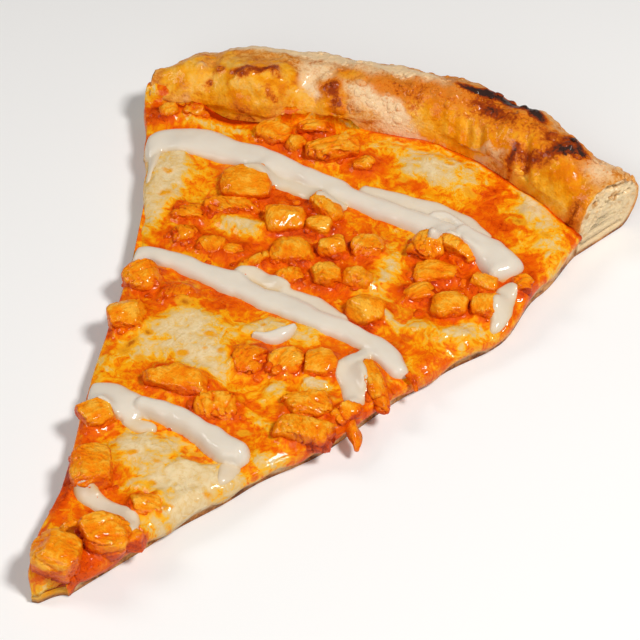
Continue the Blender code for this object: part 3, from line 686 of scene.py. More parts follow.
def crust_sections(columns, base_rows, rim_rows, under_rows):
    """Radius and height of every point of the crust's sections, one column for each share."""
    share = np.linspace(0, 1, columns)
    foot, outer, crest = rim_sizes(share)
    rows = []
    tip = tip_radius(share)
    for i in range(base_rows + 1):
        radius = tip + (foot - tip) * i / base_rows
        rows.append((radius, base_height(radius) - 1.6 * (1 - smoothstep(0, 5, radius - tip))))
    for i in range(1, rim_rows + 1):
        turn = pi * (1 - i / rim_rows)
        low = base_height(foot) + (RIM_MIDDLE - base_height(foot)) * i / rim_rows
        lift = max(sin(turn), 0.0) ** (RIM_STEEPNESS if turn > pi / 2 else 0.8)
        rows.append(((foot + outer) / 2 + (outer - foot) / 2 * cos(turn), low + (crest - low) * lift))
    for i in range(1, under_rows + 1):
        turn = pi / 2 * i / under_rows
        rows.append((outer - 5.5 * (1 - cos(turn)), RIM_MIDDLE * (1 - sin(turn))))
    for i in range(base_rows, -1, -1):
        radius = tip + (foot - tip) * i / base_rows
        rows.append((radius, 0.0))
    radius = np.array([np.broadcast_to(row[0], share.shape) for row in rows])
    height = np.array([np.broadcast_to(row[1], share.shape) for row in rows])
    return radius, height, np.broadcast_to(share, radius.shape)


def build_crust(settings):
    """Dough base and puffed rim with its blisters, wrinkles and open crumb at the cuts."""
    columns, base_rows, rim_rows, under_rows = 260, 70, 84, 10
    radius, height, share = crust_sections(columns, base_rows, rim_rows, under_rows)
    foot = rim_sizes(share)[0]
    x, y = place(radius, share)
    on_rim = (radius > foot + 1) & (height > 1)
    rumple = np.where(on_rim, grain(x, y, height, 1 / 0.09) * 1.3, 0)
    radius = radius + 0.6 * rumple
    height = height + rumple * smoothstep(6, 16, height)
    x, y = place(radius, share)
    skin = np.where(on_rim, 1.0, 0.0) * smoothstep(0, 4, height)
    puff = 0.7 * grain(x, y, height, 7.0, 3.1) + 0.35 * grain(x, y, height, 3.0, 9.2)
    puff = puff + 0.24 * grain(x, y, height, 1.3, 5.5)
    burnt = np.minimum(marks(BAKED_MARKS, x, y), 1.5)
    blister = np.maximum(grain(x, y, height, 2.4, 7.7) - 0.15, 0) * 1.4 * (0.3 + burnt)
    forms = marks(RIM_FORMS, x, y) * smoothstep(6.6, 10, height)
    centre_radius = (foot + rim_sizes(share)[1]) / 2
    out_r = (radius - centre_radius) / 13
    out_z = (height - 8) / 13
    length = np.maximum(np.hypot(out_r, out_z), 0.3)
    push = skin * ((puff + blister) * settings.rim_relief / MM + forms)
    radius = radius + push * out_r / length
    height = np.maximum(height + push * out_z / length, 0)
    x, y = place(radius, share)
    rows = radius.shape[0]
    points = np.stack([x, y, height], axis=-1).reshape(-1, 3)
    faces = []
    for i in range(rows):
        k = (i + 1) % rows
        for j in range(columns - 1):
            faces.append((i * columns + j, k * columns + j, k * columns + j + 1, i * columns + j + 1))
    crumb = np.zeros(len(points))
    points, faces, crumb = close_ends(points, faces, crumb, rows, columns, base_rows)
    mesh = mesh_of("crust_baked", points, faces)
    turn_outwards(mesh)
    points = np.array(points)
    px, py, pz = points[:, 0], points[:, 1], points[:, 2]
    r, s = share_of(px, py)
    top = smoothstep(2, 9, pz)
    qx = px + 1.2 * grain(px, py, pz, 3.5, 31.0)
    qy = py + 1.2 * grain(px, py, pz, 3.5, 41.0)
    add_attribute(mesh, "browned", marks(BAKED_MARKS, qx, qy) * top)
    foot_oil = 0.9 * np.exp(-((r - read_table(RIM_FOOT, s) - 4) / 3.4) ** 2) * smoothstep(0.5, 0.66, s)
    oily = marks(OILED_MARKS, qx, qy) * np.where(r < 40, 1, top) + foot_oil * smoothstep(6, 9, pz)
    add_attribute(mesh, "oiled", oily)
    add_attribute(mesh, "floured", marks(FLOURED_MARKS, qx, qy) * top)
    up = places_of(mesh)[3]
    under = 1 - smoothstep(1.0, 4.8, pz + 1.8 * grain(px, py, pz, 5.0, 2.0))
    add_attribute(mesh, "under", under * (1 - smoothstep(0.2, 0.7, up)))
    add_attribute(mesh, "crumb", crumb)
    # Painted shade for the crumb's holes: their depth darkens the cut face's colour, with a little real tone
    # from the noise.
    cut = np.nonzero(crumb > 0.01)[0]
    hole_shade = np.zeros(len(points))
    hole_shade[cut] = [0.4 * air_hole(points[index], 3.4) for index in cut]
    add_attribute(mesh, "hole_shade", hole_shade + 0.2 * grain(px, py, pz, 2.5, 1.4))
    return finish_piece("crust_baked", mesh, baked_crust(), ["crust"])


def air_hole(spot, spacing):
    """Depth below a cut face of the round holes of the crumb, about a spacing apart."""
    stretched = Vector((spot[0], spot[1] * 0.8, spot[2] * 1.3)) / spacing
    distance = noise.voronoi(stretched)[0][0]
    size = 0.34 + 0.3 * noise.noise(stretched * 0.4)
    return spacing * max(size * size - distance * distance, 0) ** 0.5


def close_ends(points, faces, crumb, rows, columns, base_rows):
    """Close both cut faces with a fine web, pushed in and out into an open crumb."""
    points = [tuple(point) for point in points]
    crumb = list(crumb)
    last = rows - 1
    levels = 7
    for column, side in ((0, -1), (columns - 1, 1)):
        normal_angle = side * HALF_ANGLE
        normal = np.array([side * cos(normal_angle), -side * sin(normal_angle), 0.0])

        def web(a, b, share):
            """A point between two others, moved along the cut's normal by the crumb's holes."""
            spot = np.array(a) * (1 - share) + np.array(b) * share
            edge = min(share, 1 - share) * 2
            rough = noise.noise(Vector(spot / 1.1)) * 0.4
            moved = spot + normal * (rough - 0.5 * air_hole(spot, 2.2)) * min(1.0, edge * 2.2)
            points.append(tuple(moved))
            patchy = 1 - share + 0.8 * noise.noise(Vector(spot / 2.6))
            crumb.append(SIDE_CRUMB * float(smoothstep(0.25, 0.8, patchy)))
            return len(points) - 1

        columns_of = []
        for i in range(base_rows + 1):
            top, low = i * columns + column, (last - i) * columns + column
            inner = [web(points[top], points[low], k / levels) for k in range(1, levels)]
            columns_of.append([top, *inner, low])
        for one, two in zip(columns_of, columns_of[1:]):
            for k in range(levels):
                faces.append((one[k], one[k + 1], two[k + 1], two[k]))
        ring = [i * columns + column for i in range(base_rows, last - base_rows + 1)]
        ring += list(reversed(columns_of[-1][1:-1]))
        centre = np.mean([points[index] for index in ring], axis=0)
        outer_ring = ring
        depth = 30
        for step in range(1, depth):
            share = step / depth
            inner_ring = []
            for index in ring:
                spot = np.array(points[index]) * (1 - share) + centre * share
                deep = 1.5 * air_hole(spot, 3.6) + 0.8 * air_hole(spot + 40, 1.8)
                rough = noise.noise(Vector(spot / 1.0)) * 0.35
                near_edge = min(1.0, share * 6)
                points.append(tuple(spot + normal * (rough - deep) * near_edge))
                crumb.append(float(smoothstep(0.03, 0.12, share)))
                inner_ring.append(len(points) - 1)
            for a in range(len(ring)):
                b = (a + 1) % len(ring)
                faces.append((outer_ring[a], outer_ring[b], inner_ring[b], inner_ring[a]))
            outer_ring = inner_ring
        points.append(tuple(centre))
        crumb.append(1.0)
        hub = len(points) - 1
        for a in range(len(ring)):
            faces.append((outer_ring[a], outer_ring[(a + 1) % len(ring)], hub))
    return points, faces, np.array(crumb)


def build_sauce():
    """Thin layer of hot sauce between dough and cheese, a little uneven along the cut sides."""
    columns, rows = 60, 150
    share, run = np.meshgrid(np.linspace(0, 1, columns), np.linspace(0, 1, rows))
    start = tip_radius(share) + 1.0
    radius = start + (read_table(RIM_FOOT, share) - SAUCE_STOP - start) * run
    edge = np.abs(share - 0.5) ** 8 * 256
    x, y = place(radius, share, 0.5 * edge * grain(radius, share, 0 * share, 3.0, 6.0))
    low = base_height(radius) + GAP
    top = low + SAUCE_THICKNESS + 0.1 * grain(x, y, 0 * x, 3.0, 7.0)
    front = 1 - smoothstep(0, 4, radius - start)
    layers = [np.stack([x, y, height - 1.4 * front], axis=-1).reshape(-1, 3) for height in (top, low)]
    points = np.concatenate(layers)
    count = rows * columns
    faces = grid_faces(rows, columns) + [tuple(reversed(face)) for face in grid_faces(rows, columns, count)]
    border = border_of(rows, columns)
    for a, b in zip(border, border[1:] + border[:1]):
        faces.append((b, a, a + count, b + count))
    mesh = mesh_of("hot_sauce_layer", points, faces)
    turn_outwards(mesh)
    return finish_piece("hot_sauce_layer", mesh, hot_sauce(), ["sauce"])


def cheese_grid(settings):
    """Radius, share, overhang and droop of every point of the cheese's upper face, edge skirts included."""
    spacing = settings.cheese_spacing / MM
    skirt_out, skirt_drop = (0.35, 0.6, 0.7, 0.6), (0.12, 0.38, 0.7, 1.0)
    rows = int((205 - TIP_RADIUS) / spacing)
    columns = int(128 / spacing)
    shares = [0.0] * 4 + list(np.linspace(0, 1, columns)) + [1.0] * 4
    outs = list(reversed(skirt_out)) + [0.0] * columns + list(skirt_out)
    drops = list(reversed(skirt_drop)) + [0.0] * columns + list(skirt_drop)
    share, run = np.meshgrid(shares, np.linspace(0, 1, rows))
    out = np.broadcast_to(outs, share.shape)
    drop = np.broadcast_to(drops, share.shape)
    end = read_table(RIM_FOOT, share) + read_table(CHEESE_CLIMB, share)
    tip = tip_radius(share) + 0.1 + 0.8 * np.maximum(grain(share, 0 * share, 0 * share, 0.16, 4.0), -0.3)
    radius = tip + (end - tip) * run
    return radius, share, out, drop


def build_cheese(settings):
    """Melted cheese over the sauce, with its patches, streaks and drips over the cut sides."""
    radius, share, out, drop = cheese_grid(settings)
    off_tip = smoothstep(0.0, 5.0, radius - radius[0])
    x, y = place(radius, share, (CHEESE_OVERHANG + out) * (0.1 + 0.9 * off_tip))
    height = cheese_height(x, y)
    gap = gap_to_dice(x, y, height - 0.6)
    near = np.exp(-(gap / 1.5) ** 2)
    around = np.exp(-(gap / 3.6) ** 2)
    warp_x = x + 2.4 * grain(x, y, 0 * x, 6.0, 31.0) + 1.0 * grain(x, y, 0 * x, 2.5, 35.0)
    warp_y = y + 2.4 * grain(x, y, 0 * x, 6.0, 41.0) + 1.0 * grain(x, y, 0 * x, 2.5, 45.0)
    pale, pools = marks(PALE_PATCHES, warp_x, warp_y), marks(SAUCE_POOLS, warp_x, warp_y)
    sauced = np.clip(pools - 0.8 * pale + 0.5 * around, 0, 1)
    height = height + 1.2 * near * (1 + grain(x, y, 0 * x, 3.0, 2.2)) + 0.8 * around
    height = height + sauced * (0.32 * grain(x, y, 0 * x, 2.6, 4.0) + 0.1 * grain(x, y, 0 * x, 1.3, 1.0))
    ripple = 0.35 * grain(x, y, 0 * x, 5.0, 8.0) + 0.14 * grain(x, y, 0 * x, 1.6, 6.0)
    height = height + (1 - sauced) * ripple
    height = height + 0.9 * smoothstep(0.25, 0.9, pale - 0.6 * pools)
    foot = read_table(RIM_FOOT, share)
    climb = read_table(CHEESE_CLIMB, share)
    over = np.clip((radius - foot) / climb, 0, 1)
    skin = 1.3 * (1 - over) ** 0.7 - 0.6 * over
    lapped = rim_height(radius, share) + skin
    laps = smoothstep(0.4, 2.0, climb)
    raised = np.where(radius > foot - 2, np.maximum(height * (radius < foot + 1.5), lapped), height)
    height = height + laps * (raised - height) - 0.6 * (1 - laps) * smoothstep(-1.6, 0.2, radius - foot)
    crease = marks(RIM_CREASES, x, y)
    height = height - 0.5 * crease
    inside = np.minimum(share, 1 - share) * radius * 2 * HALF_ANGLE
    round_off = 1 - smoothstep(-0.5, 3.0, inside)
    height = height - 0.9 * round_off
    hang = 0.6 + 3.2 * np.maximum(grain(x, y, 0 * x, 9.0, 5.0) + 0.15, 0)
    drop = drop * (1 - 0.7 * smoothstep(-3.0, 2.0, radius - foot))
    height = height * (1 - drop) + (bed_height(radius) - hang) * drop
    tip = 1 - smoothstep(0, 3.2, radius - radius[0])
    height = np.maximum(height - tip * 4.8, 0.1)
    rows, columns = x.shape
    points = np.stack([x, y, height], axis=-1).reshape(-1, 3)
    faces = grid_faces(rows, columns)
    # a hidden floor closes the sheet: a ring just inside the border, then one face
    border = border_of(rows, columns)
    rim_xy = points[border]
    flat_r, flat_s = share_of(rim_xy[:, 0], rim_xy[:, 1])
    inner_r = np.clip(flat_r, TIP_RADIUS + 3, read_table(RIM_FOOT, np.clip(flat_s, 0, 1)) - 3)
    inner_x, inner_y = place(inner_r, np.clip(flat_s, 0.03, 0.97))
    ring = np.stack([inner_x, inner_y, bed_height(inner_r) + 0.2], axis=-1)
    start = len(points)
    points = np.vstack([points, ring])
    count = len(border)
    for a in range(count):
        b = (a + 1) % count
        faces.append((border[b], border[a], start + a, start + b))
    faces.append(tuple(start + a for a in range(count)))
    streaks = 0.3 * np.maximum(grain(x / 1.0, y / 0.45, 0 * x, 4.5, 80.0), 0)
    state = 0.05 + 0.66 * np.minimum(pale, 1.3) - 0.42 * np.minimum(pools, 1.4) - 0.2 * around - streaks
    # Painted shade: a darker, redder ring on the cheese right against each chicken chunk, where the crevice
    # lies in shade.
    state = state - 0.22 * np.exp(-(gap / 0.8) ** 2)
    lap_state = 0.1 + 0.3 * grain(x, y, 0 * x, 4.0, 60.0)
    state = state + (lap_state - state) * smoothstep(-1.0, 2.0, radius - foot) * laps
    # Painted shade: a darker, redder line along the crease where the cheese stops at the rim's foot, mostly
    # on the right part and at the left end.
    foot_crease_shade = 0.25 + 0.5 * smoothstep(0.66, 0.8, share) + 0.4 * (share < 0.3)
    state = state - foot_crease_shade * (1 - laps) * np.exp(-((radius - foot) / 0.9) ** 2) - 1.1 * crease
    browned = marks(CHEESE_SPOTS, x + 0.3 * (warp_x - x), y + 0.3 * (warp_y - y))
    hidden = [0.0] * count
    fields = {"cheese_tone_and_shade": np.append(state.ravel(), hidden), "browned": np.append(browned.ravel(), hidden)}
    mesh = mesh_of("cheese_melted", points, faces, fields)
    turn_outwards(mesh)
    return finish_piece("cheese_melted", mesh, melted_cheese(), ["cheese"])


def remeshed(mesh, voxel):
    """An even skin of small quads round a closed mesh."""
    thing = bpy.data.objects.new("block", mesh)
    bpy.context.scene.collection.objects.link(thing)
    step = thing.modifiers.new("Remesh", "REMESH")
    step.mode = "VOXEL"
    step.voxel_size = voxel * MM
    graph = bpy.context.evaluated_depsgraph_get()
    skin = bpy.data.meshes.new_from_object(thing.evaluated_get(graph))
    bpy.data.objects.remove(thing, do_unlink=True)
    return skin


def chunk_of(node, draw):
    """A diced chunk inside a solid's slightly swollen outline, with a few faces sliced off at a slant."""
    spots = np.array([tuple(vert.co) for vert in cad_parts[node].data.vertices]) / MM
    spots += (0, ORIGIN_RADIUS, 0)
    middle = (spots.min(axis=0) + spots.max(axis=0)) / 2
    buried = float(cheese_height(np.array([middle[0]]), np.array([middle[1]]))[0]) - 1.6
    spots = (spots - middle) * (CHUNK_SWELL, CHUNK_SWELL, 1.12) + middle
    bm = bmesh.new()
    for spot in spots:
        bm.verts.new(spot)
    bmesh.ops.remove_doubles(bm, verts=bm.verts, dist=0.02)
    planes = [(Vector((0, 0, -1)), -buried)]
    for cut in range(draw.randint(6, 9)):
        turn, tilt = draw.uniform(0, 2 * pi), draw.choice((draw.uniform(-0.25, 0.35), draw.uniform(0.5, 1.1)))
        if cut == 0:
            tilt = draw.uniform(1.1, 1.5)
        normal = Vector((cos(turn) * cos(tilt), sin(turn) * cos(tilt), sin(tilt)))
        reach = max(normal.dot(Vector(spot - middle)) for spot in spots)
        planes.append((normal, normal.dot(Vector(middle)) + reach * (1 - draw.uniform(0.08, 0.3))))
    for normal, offset in planes:
        made = bmesh.ops.convex_hull(bm, input=bm.verts)
        loose = made["geom_interior"] + made["geom_unused"]
        spare = {item for item in loose if isinstance(item, bmesh.types.BMVert)}
        bmesh.ops.delete(bm, geom=list(spare), context="VERTS")
        bmesh.ops.bisect_plane(bm, geom=bm.verts[:] + bm.edges[:] + bm.faces[:], plane_co=normal * offset,
                               plane_no=normal, clear_outer=True)
    bmesh.ops.convex_hull(bm, input=bm.verts)
    bmesh.ops.recalc_face_normals(bm, faces=bm.faces)
    bmesh.ops.translate(bm, verts=bm.verts, vec=(0, -ORIGIN_RADIUS, 0))
    bmesh.ops.scale(bm, verts=bm.verts, vec=(MM, MM, MM))
    mesh = bpy.data.meshes.new(node)
    bm.to_mesh(mesh)
    bm.free()
    return mesh


def build_chicken(settings):
    """Every dice of chicken, with its fibres, torn corners and creases."""
    draw = random.Random(11)
    names = sorted(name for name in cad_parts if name.startswith("chicken"))
    points, faces, lit_tops_and_sauced_creases, tones, strands = [], [], [], [], []
    for name in names:
        skin = remeshed(chunk_of(name, draw), VOXEL)
        count = len(skin.vertices)
        spots = np.empty(count * 3)
        normals = np.empty(count * 3)
        skin.vertices.foreach_get("co", spots)
        skin.vertices.foreach_get("normal", normals)
        spots = spots.reshape(-1, 3) / MM + (0, ORIGIN_RADIUS, 0)
        normals = normals.reshape(-1, 3)
        middle = spots.mean(axis=0)
        low, high = spots[:, 2].min(), spots[:, 2].max()
        turn, lean = draw.uniform(0, pi), draw.uniform(-0.5, 0.5)
        local = spots - middle
        u = local @ (cos(turn) * cos(lean), sin(turn) * cos(lean), sin(lean))
        v = local @ (-sin(turn), cos(turn), 0.0)
        w = local @ (-cos(turn) * sin(lean), -sin(turn) * sin(lean), cos(lean))
        seed = draw.uniform(0, 90)
        threads = grain(u / 6, v / 0.8, w / 1.0, 1.0, seed)
        lumps = grain(u, v, w, 5.0, seed + 9)
        split = np.exp(-(grain(u / 9, v / 2.6, w / 3.0, 1.0, seed + 30) / 0.05) ** 2)
        torn = np.maximum(grain(u / 1.4, v, w, 2.4, seed + 20) - 0.08, 0)
        ragged = draw.uniform(0.2, 1.0) ** 1.3
        push = 0.1 + 0.22 * lumps + 0.1 * threads - ragged * (0.9 * split + 1.2 * torn)
        push = push * settings.chicken_relief / MM
        spots = spots + normals * push[:, None]
        start = len(points)
        points.extend(spots.tolist())
        faces.extend(tuple(start + index for index in face.vertices) for face in skin.polygons)
        # Painted light and shade: higher, upward-facing points get a lighter, yellower colour as painted
        # light on the tops, and pushed-in cracks and low sides a deeper red, partly sauce glaze and partly
        # painted shade.
        tall = smoothstep(low + 1.0, low + 5.5, spots[:, 2])
        facing = np.maximum(normals[:, 2], 0)
        lit_tops_and_sauced_creases.extend((0.22 + 0.32 * tall + 0.32 * facing * tall + 0.3 * push).tolist())
        tones.extend([draw.uniform(-1, 1)] * count)
        strands.extend((np.stack([u / 7, v, w], axis=-1) * MM + seed).ravel().tolist())
        bpy.data.meshes.remove(skin)
    mesh = mesh_of("chicken_diced", points, faces, {"rise": lit_tops_and_sauced_creases, "tone": tones})
    mesh.attributes.new("strand", "FLOAT_VECTOR", "POINT").data.foreach_set("vector", strands)
    return finish_piece("chicken_diced", mesh, sauced_chicken(), names)


def stroke_depth(x, y, strokes):
    """Depth of poured ranch at each place: the deepest of the strokes, below 0 outside them."""
    depth = np.full(x.shape, -3.0)
    for rise, bends in strokes:
        bends = np.array(bends, float)
        points = bends
        for _ in range(3):
            points = round_corners(points)
        best = np.full(x.shape, -3.0)
        for (ax, ay, ar), (bx, by, br) in zip(points, points[1:]):
            length = max((bx - ax) ** 2 + (by - ay) ** 2, 1e-6)
            t = np.clip(((x - ax) * (bx - ax) + (y - ay) * (by - ay)) / length, 0, 1)
            wide = ar + (br - ar) * t
            far = np.hypot(x - ax - (bx - ax) * t, y - ay - (by - ay) * t) / wide
            dome = rise * np.maximum(1 - far ** 2.6, 0) ** 0.6
            here = np.where(far < 1, dome, -(far - 1) * wide * RANCH_SINK)
            best = np.maximum(best, here)
        meet = 0.35 * np.exp(-np.abs(depth - best) / 0.5) * (np.minimum(depth, best) > 0)
        depth = np.maximum(depth, best) + meet
    return depth


def round_corners(points):
    """One step of corner cutting along a path."""
    cut = [points[0]]
    for a, b in zip(points, points[1:]):
        cut += [a * 0.75 + b * 0.25, a * 0.25 + b * 0.75]
    return np.array([*cut, points[-1]])


def support_under(x, y, tree):
    """Height of the food under each place, by looking straight down."""
    heights = np.full(x.shape, np.nan)
    down = Vector((0, 0, -1))
    for index, (px, py) in enumerate(zip(x.ravel(), y.ravel())):
        hit = tree.ray_cast(Vector((px * MM, (py - ORIGIN_RADIUS) * MM, 0.05)), down)[0]
        if hit is not None:
            heights.flat[index] = hit.z / MM
    return heights


def soften(grid, passes, keep=None):
    """Blur a grid of heights; where keep is given, never sink below it by more than a little."""
    for _ in range(passes):
        padded = np.pad(grid, 1, mode="edge")
        grid = (padded[:-2, 1:-1] + padded[2:, 1:-1] + padded[1:-1, :-2] + padded[1:-1, 2:] + 2 * grid) / 6
        if keep is not None:
            grid = np.maximum(grid, keep)
    return grid


def build_ranch(tree):
    """Ranch poured in strokes over cheese and chicken; each drizzle is one piece."""
    material = ranch_dressing()
    for name, strokes in RANCH_STROKES.items():
        bends = np.array([bend for _, path in strokes for bend in path])
        low = bends[:, :2].min(axis=0) - 8
        high = bends[:, :2].max(axis=0) + 8
        xs = np.arange(low[0], high[0], RANCH_GRID)
        ys = np.arange(low[1], high[1], RANCH_GRID)
        x, y = np.meshgrid(xs, ys)
        wobble_x = 1.0 * grain(x, y, 0 * x, 9.0, 3.0) + 0.4 * grain(x, y, 0 * x, 4.0, 3.0)
        wobble_y = 1.0 * grain(x, y, 0 * x, 9.0, 13.0) + 0.4 * grain(x, y, 0 * x, 4.0, 13.0)
        radius, share = share_of(x, y)
        inside = np.minimum(share, 1 - share) * radius * 2 * HALF_ANGLE
        depth = stroke_depth(x + wobble_x, y + wobble_y, strokes) - 4.0 * (1 - smoothstep(-2.2, 0.1, inside))
        used = depth > -1.3
        heights = np.full(x.shape, np.nan)
        heights[used] = support_under(x[used], y[used], tree)
        missing = np.isnan(heights)
        used = used & (soften(np.where(missing, 0.0, 1.0), 3) > 0.12)
        level = np.where(missing, cheese_height(x, y) - 1.5, heights)
        cover = soften(level, 20, level - 1.0)
        top = cover + depth + 0.10 * grain(x, y, 0 * x, 3.0, 21.0) * (depth > 0)
        bottom = np.minimum(level, top) - 0.8
        drawn_from(name, x, y, top, bottom, depth, used, material)


def drawn_from(name, x, y, top, bottom, depth, used, material):
    """A closed piece from the used cells of two height grids."""
    rows, columns = x.shape
    cell = used[:-1, :-1] & used[1:, :-1] & used[:-1, 1:] & used[1:, 1:]
    index = np.full((2, rows, columns), -1)
    points, thin = [], []

    def vertex(layer, i, j):
        if index[layer, i, j] < 0:
            index[layer, i, j] = len(points)
            points.append((x[i, j], y[i, j], (top, bottom)[layer][i, j]))
            thin.append(1 - min(max(depth[i, j] / 1.6, 0), 1))
        return index[layer, i, j]

    faces = []
    for i, j in zip(*np.nonzero(cell)):
        corners = ((i, j), (i, j + 1), (i + 1, j + 1), (i + 1, j))
        faces.append(tuple(vertex(0, *corner) for corner in corners))
        faces.append(tuple(vertex(1, *corner) for corner in reversed(corners)))
        sides = zip(corners, corners[1:] + corners[:1])
        for (a, b), (di, dj) in zip(sides, ((-1, 0), (0, 1), (1, 0), (0, -1))):
            ni, nj = i + di, j + dj
            outside = not (0 <= ni < rows - 1 and 0 <= nj < columns - 1) or not cell[ni, nj]
            if outside:
                faces.append((vertex(0, *b), vertex(0, *a), vertex(1, *a), vertex(1, *b)))
    mesh = mesh_of(name, points, faces, {"thin": thin})
    turn_outwards(mesh)
    return finish_piece(name, mesh, material)


def tube(path, sides=10):
    """Points and faces of a tapered tube along (x, y, z, radius) bends, closed at both ends."""
    path = np.array(path, float)
    for _ in range(2):
        path = round_corners(path)
    points, faces = [], []
    for index, (x, y, z, radius) in enumerate(path):
        ahead = path[min(index + 1, len(path) - 1)] - path[max(index - 1, 0)]
        along = Vector(ahead[:3]).normalized()
        side = along.cross(Vector((0, 0, 1))).normalized()
        over = side.cross(along)
        for k in range(sides):
            turn = 2 * pi * k / sides
            ridge = radius * (1 + 0.22 * cos(3 * turn + x) + 0.12 * cos(5 * turn + y))
            points.append(tuple(Vector((x, y, z)) + (side * cos(turn) + over * sin(turn)) * ridge))
    for index in range(len(path) - 1):
        for k in range(sides):
            a, b = index * sides + k, index * sides + (k + 1) % sides
            faces.append((a, b, b + sides, a + sides))
    faces.append(tuple(range(sides)))
    faces.append(tuple(reversed(range((len(path) - 1) * sides, len(path) * sides))))
    return points, faces


def build_shreds():
    """Torn threads of chicken and dough that stick out at the tip and the cut sides."""
    points, faces, tones = [], [], []
    for tone, path in TORN_SHREDS:
        more, joined = tube(path)
        start = len(points)
        points += more
        tones += [tone] * len(more)
        faces += [tuple(start + index for index in face) for face in joined]
    count = len(points)
    mesh = mesh_of("torn_shreds", points, faces, {"rise": tones, "tone": [0.0] * count})
    strand = np.array(points) * MM * (1.0, 0.2, 1.0)
    mesh.attributes.new("strand", "FLOAT_VECTOR", "POINT").data.foreach_set("vector", strand.ravel())
    turn_outwards(mesh)
    return finish_piece("torn_shreds", mesh, bpy.data.materials[CHICKEN_FINISH])


def scatter_nodes(name, density, smallest, largest, flatness, lumpiness, seed):
    """Node group that sows small lumps over a surface where its density attribute asks for them."""
    tree = bpy.data.node_groups.new(name, "GeometryNodeTree")
    sockets = (("Surface", "NodeSocketGeometry", None), ("Density", "NodeSocketFloat", density),
               ("Smallest", "NodeSocketFloat", smallest), ("Largest", "NodeSocketFloat", largest),
               ("Flatness", "NodeSocketFloat", flatness), ("Lumpiness", "NodeSocketFloat", lumpiness),
               ("Seed", "NodeSocketInt", seed), ("Material", "NodeSocketMaterial", None))
    for label, kind, value in sockets:
        socket = tree.interface.new_socket(label, in_out="INPUT", socket_type=kind)
        if value is not None:
            socket.default_value = value
    tree.interface.new_socket("Lumps", in_out="OUTPUT", socket_type="NodeSocketGeometry")

    def node(kind, settings=None, **links):
        made = tree.nodes.new(kind)
        for label, value in (settings or {}).items():
            if label in made.inputs:
                made.inputs[label].default_value = value
            else:
                setattr(made, label, value)
        for label, socket in links.items():
            index = int(label[1:]) if label[0] == "_" and label[1:].isdigit() else label.replace("_", " ")
            tree.links.new(socket, made.inputs[index])
        return made

    given = node("NodeGroupInput").outputs
    asked = node("GeometryNodeInputNamedAttribute",
                 {"data_type": "FLOAT", "Name": "sown"}).outputs["Attribute"]
    rate = node("ShaderNodeMath", {"operation": "MULTIPLY"}, _0=asked, _1=given["Density"]).outputs[0]
    sown = node("GeometryNodeDistributePointsOnFaces", {"distribute_method": "RANDOM"}, Mesh=given["Surface"],
                Density=rate, Seed=given["Seed"])
    size = node("FunctionNodeRandomValue", {"data_type": "FLOAT"}, _2=given["Smallest"], _3=given["Largest"],
                Seed=given["Seed"]).outputs[1]
    stretch = node("FunctionNodeRandomValue", {"data_type": "FLOAT"}, Seed=given["Seed"])
    stretch.inputs[2].default_value, stretch.inputs[3].default_value = 1.0, 1.5
    long = node("ShaderNodeMath", {"operation": "MULTIPLY"}, _0=size, _1=stretch.outputs[1]).outputs[0]
    flat = node("ShaderNodeMath", {"operation": "MULTIPLY"}, _0=size, _1=given["Flatness"]).outputs[0]
    scale = node("ShaderNodeCombineXYZ", None, X=long, Y=size, Z=flat).outputs[0]
    spin = node("FunctionNodeRandomValue", {"data_type": "FLOAT"}, Seed=given["Seed"])
    spin.inputs[2].default_value, spin.inputs[3].default_value = 0.0, 2 * pi
    twist = node("ShaderNodeCombineXYZ", None, Z=spin.outputs[1]).outputs[0]
    facing = node("FunctionNodeRotateRotation", {"rotation_space": "LOCAL"},
                  Rotation=sown.outputs["Rotation"], Rotate_By=twist).outputs[0]
    ball = node("GeometryNodeMeshIcoSphere", {"Radius": 1.0, "Subdivisions": 3}).outputs["Mesh"]
    placed = node("GeometryNodeInstanceOnPoints", None, Points=sown.outputs["Points"], Instance=ball,
                  Rotation=facing, Scale=scale).outputs["Instances"]
    real = node("GeometryNodeRealizeInstances", None, Geometry=placed).outputs["Geometry"]
    wave = node("ShaderNodeTexNoise", {"noise_dimensions": "3D", "Scale": 1 / (1.2 * MM), "Detail": 2.0})
    shift = node("ShaderNodeVectorMath", {"operation": "SUBTRACT"}, _0=wave.outputs["Color"])
    shift.inputs[1].default_value = (0.5, 0.5, 0.5)
    moved = node("ShaderNodeVectorMath", {"operation": "SCALE"}, _0=shift.outputs[0],
                 Scale=given["Lumpiness"]).outputs[0]
    rough = node("GeometryNodeSetPosition", None, Geometry=real, Offset=moved).outputs["Geometry"]
    soft = node("GeometryNodeSetShadeSmooth", None, Geometry=rough).outputs["Geometry"]
    coated = node("GeometryNodeSetMaterial", None, Geometry=soft,
                  Material=given["Material"]).outputs["Geometry"]
    node("NodeGroupOutput", None, Lumps=coated)
    return tree


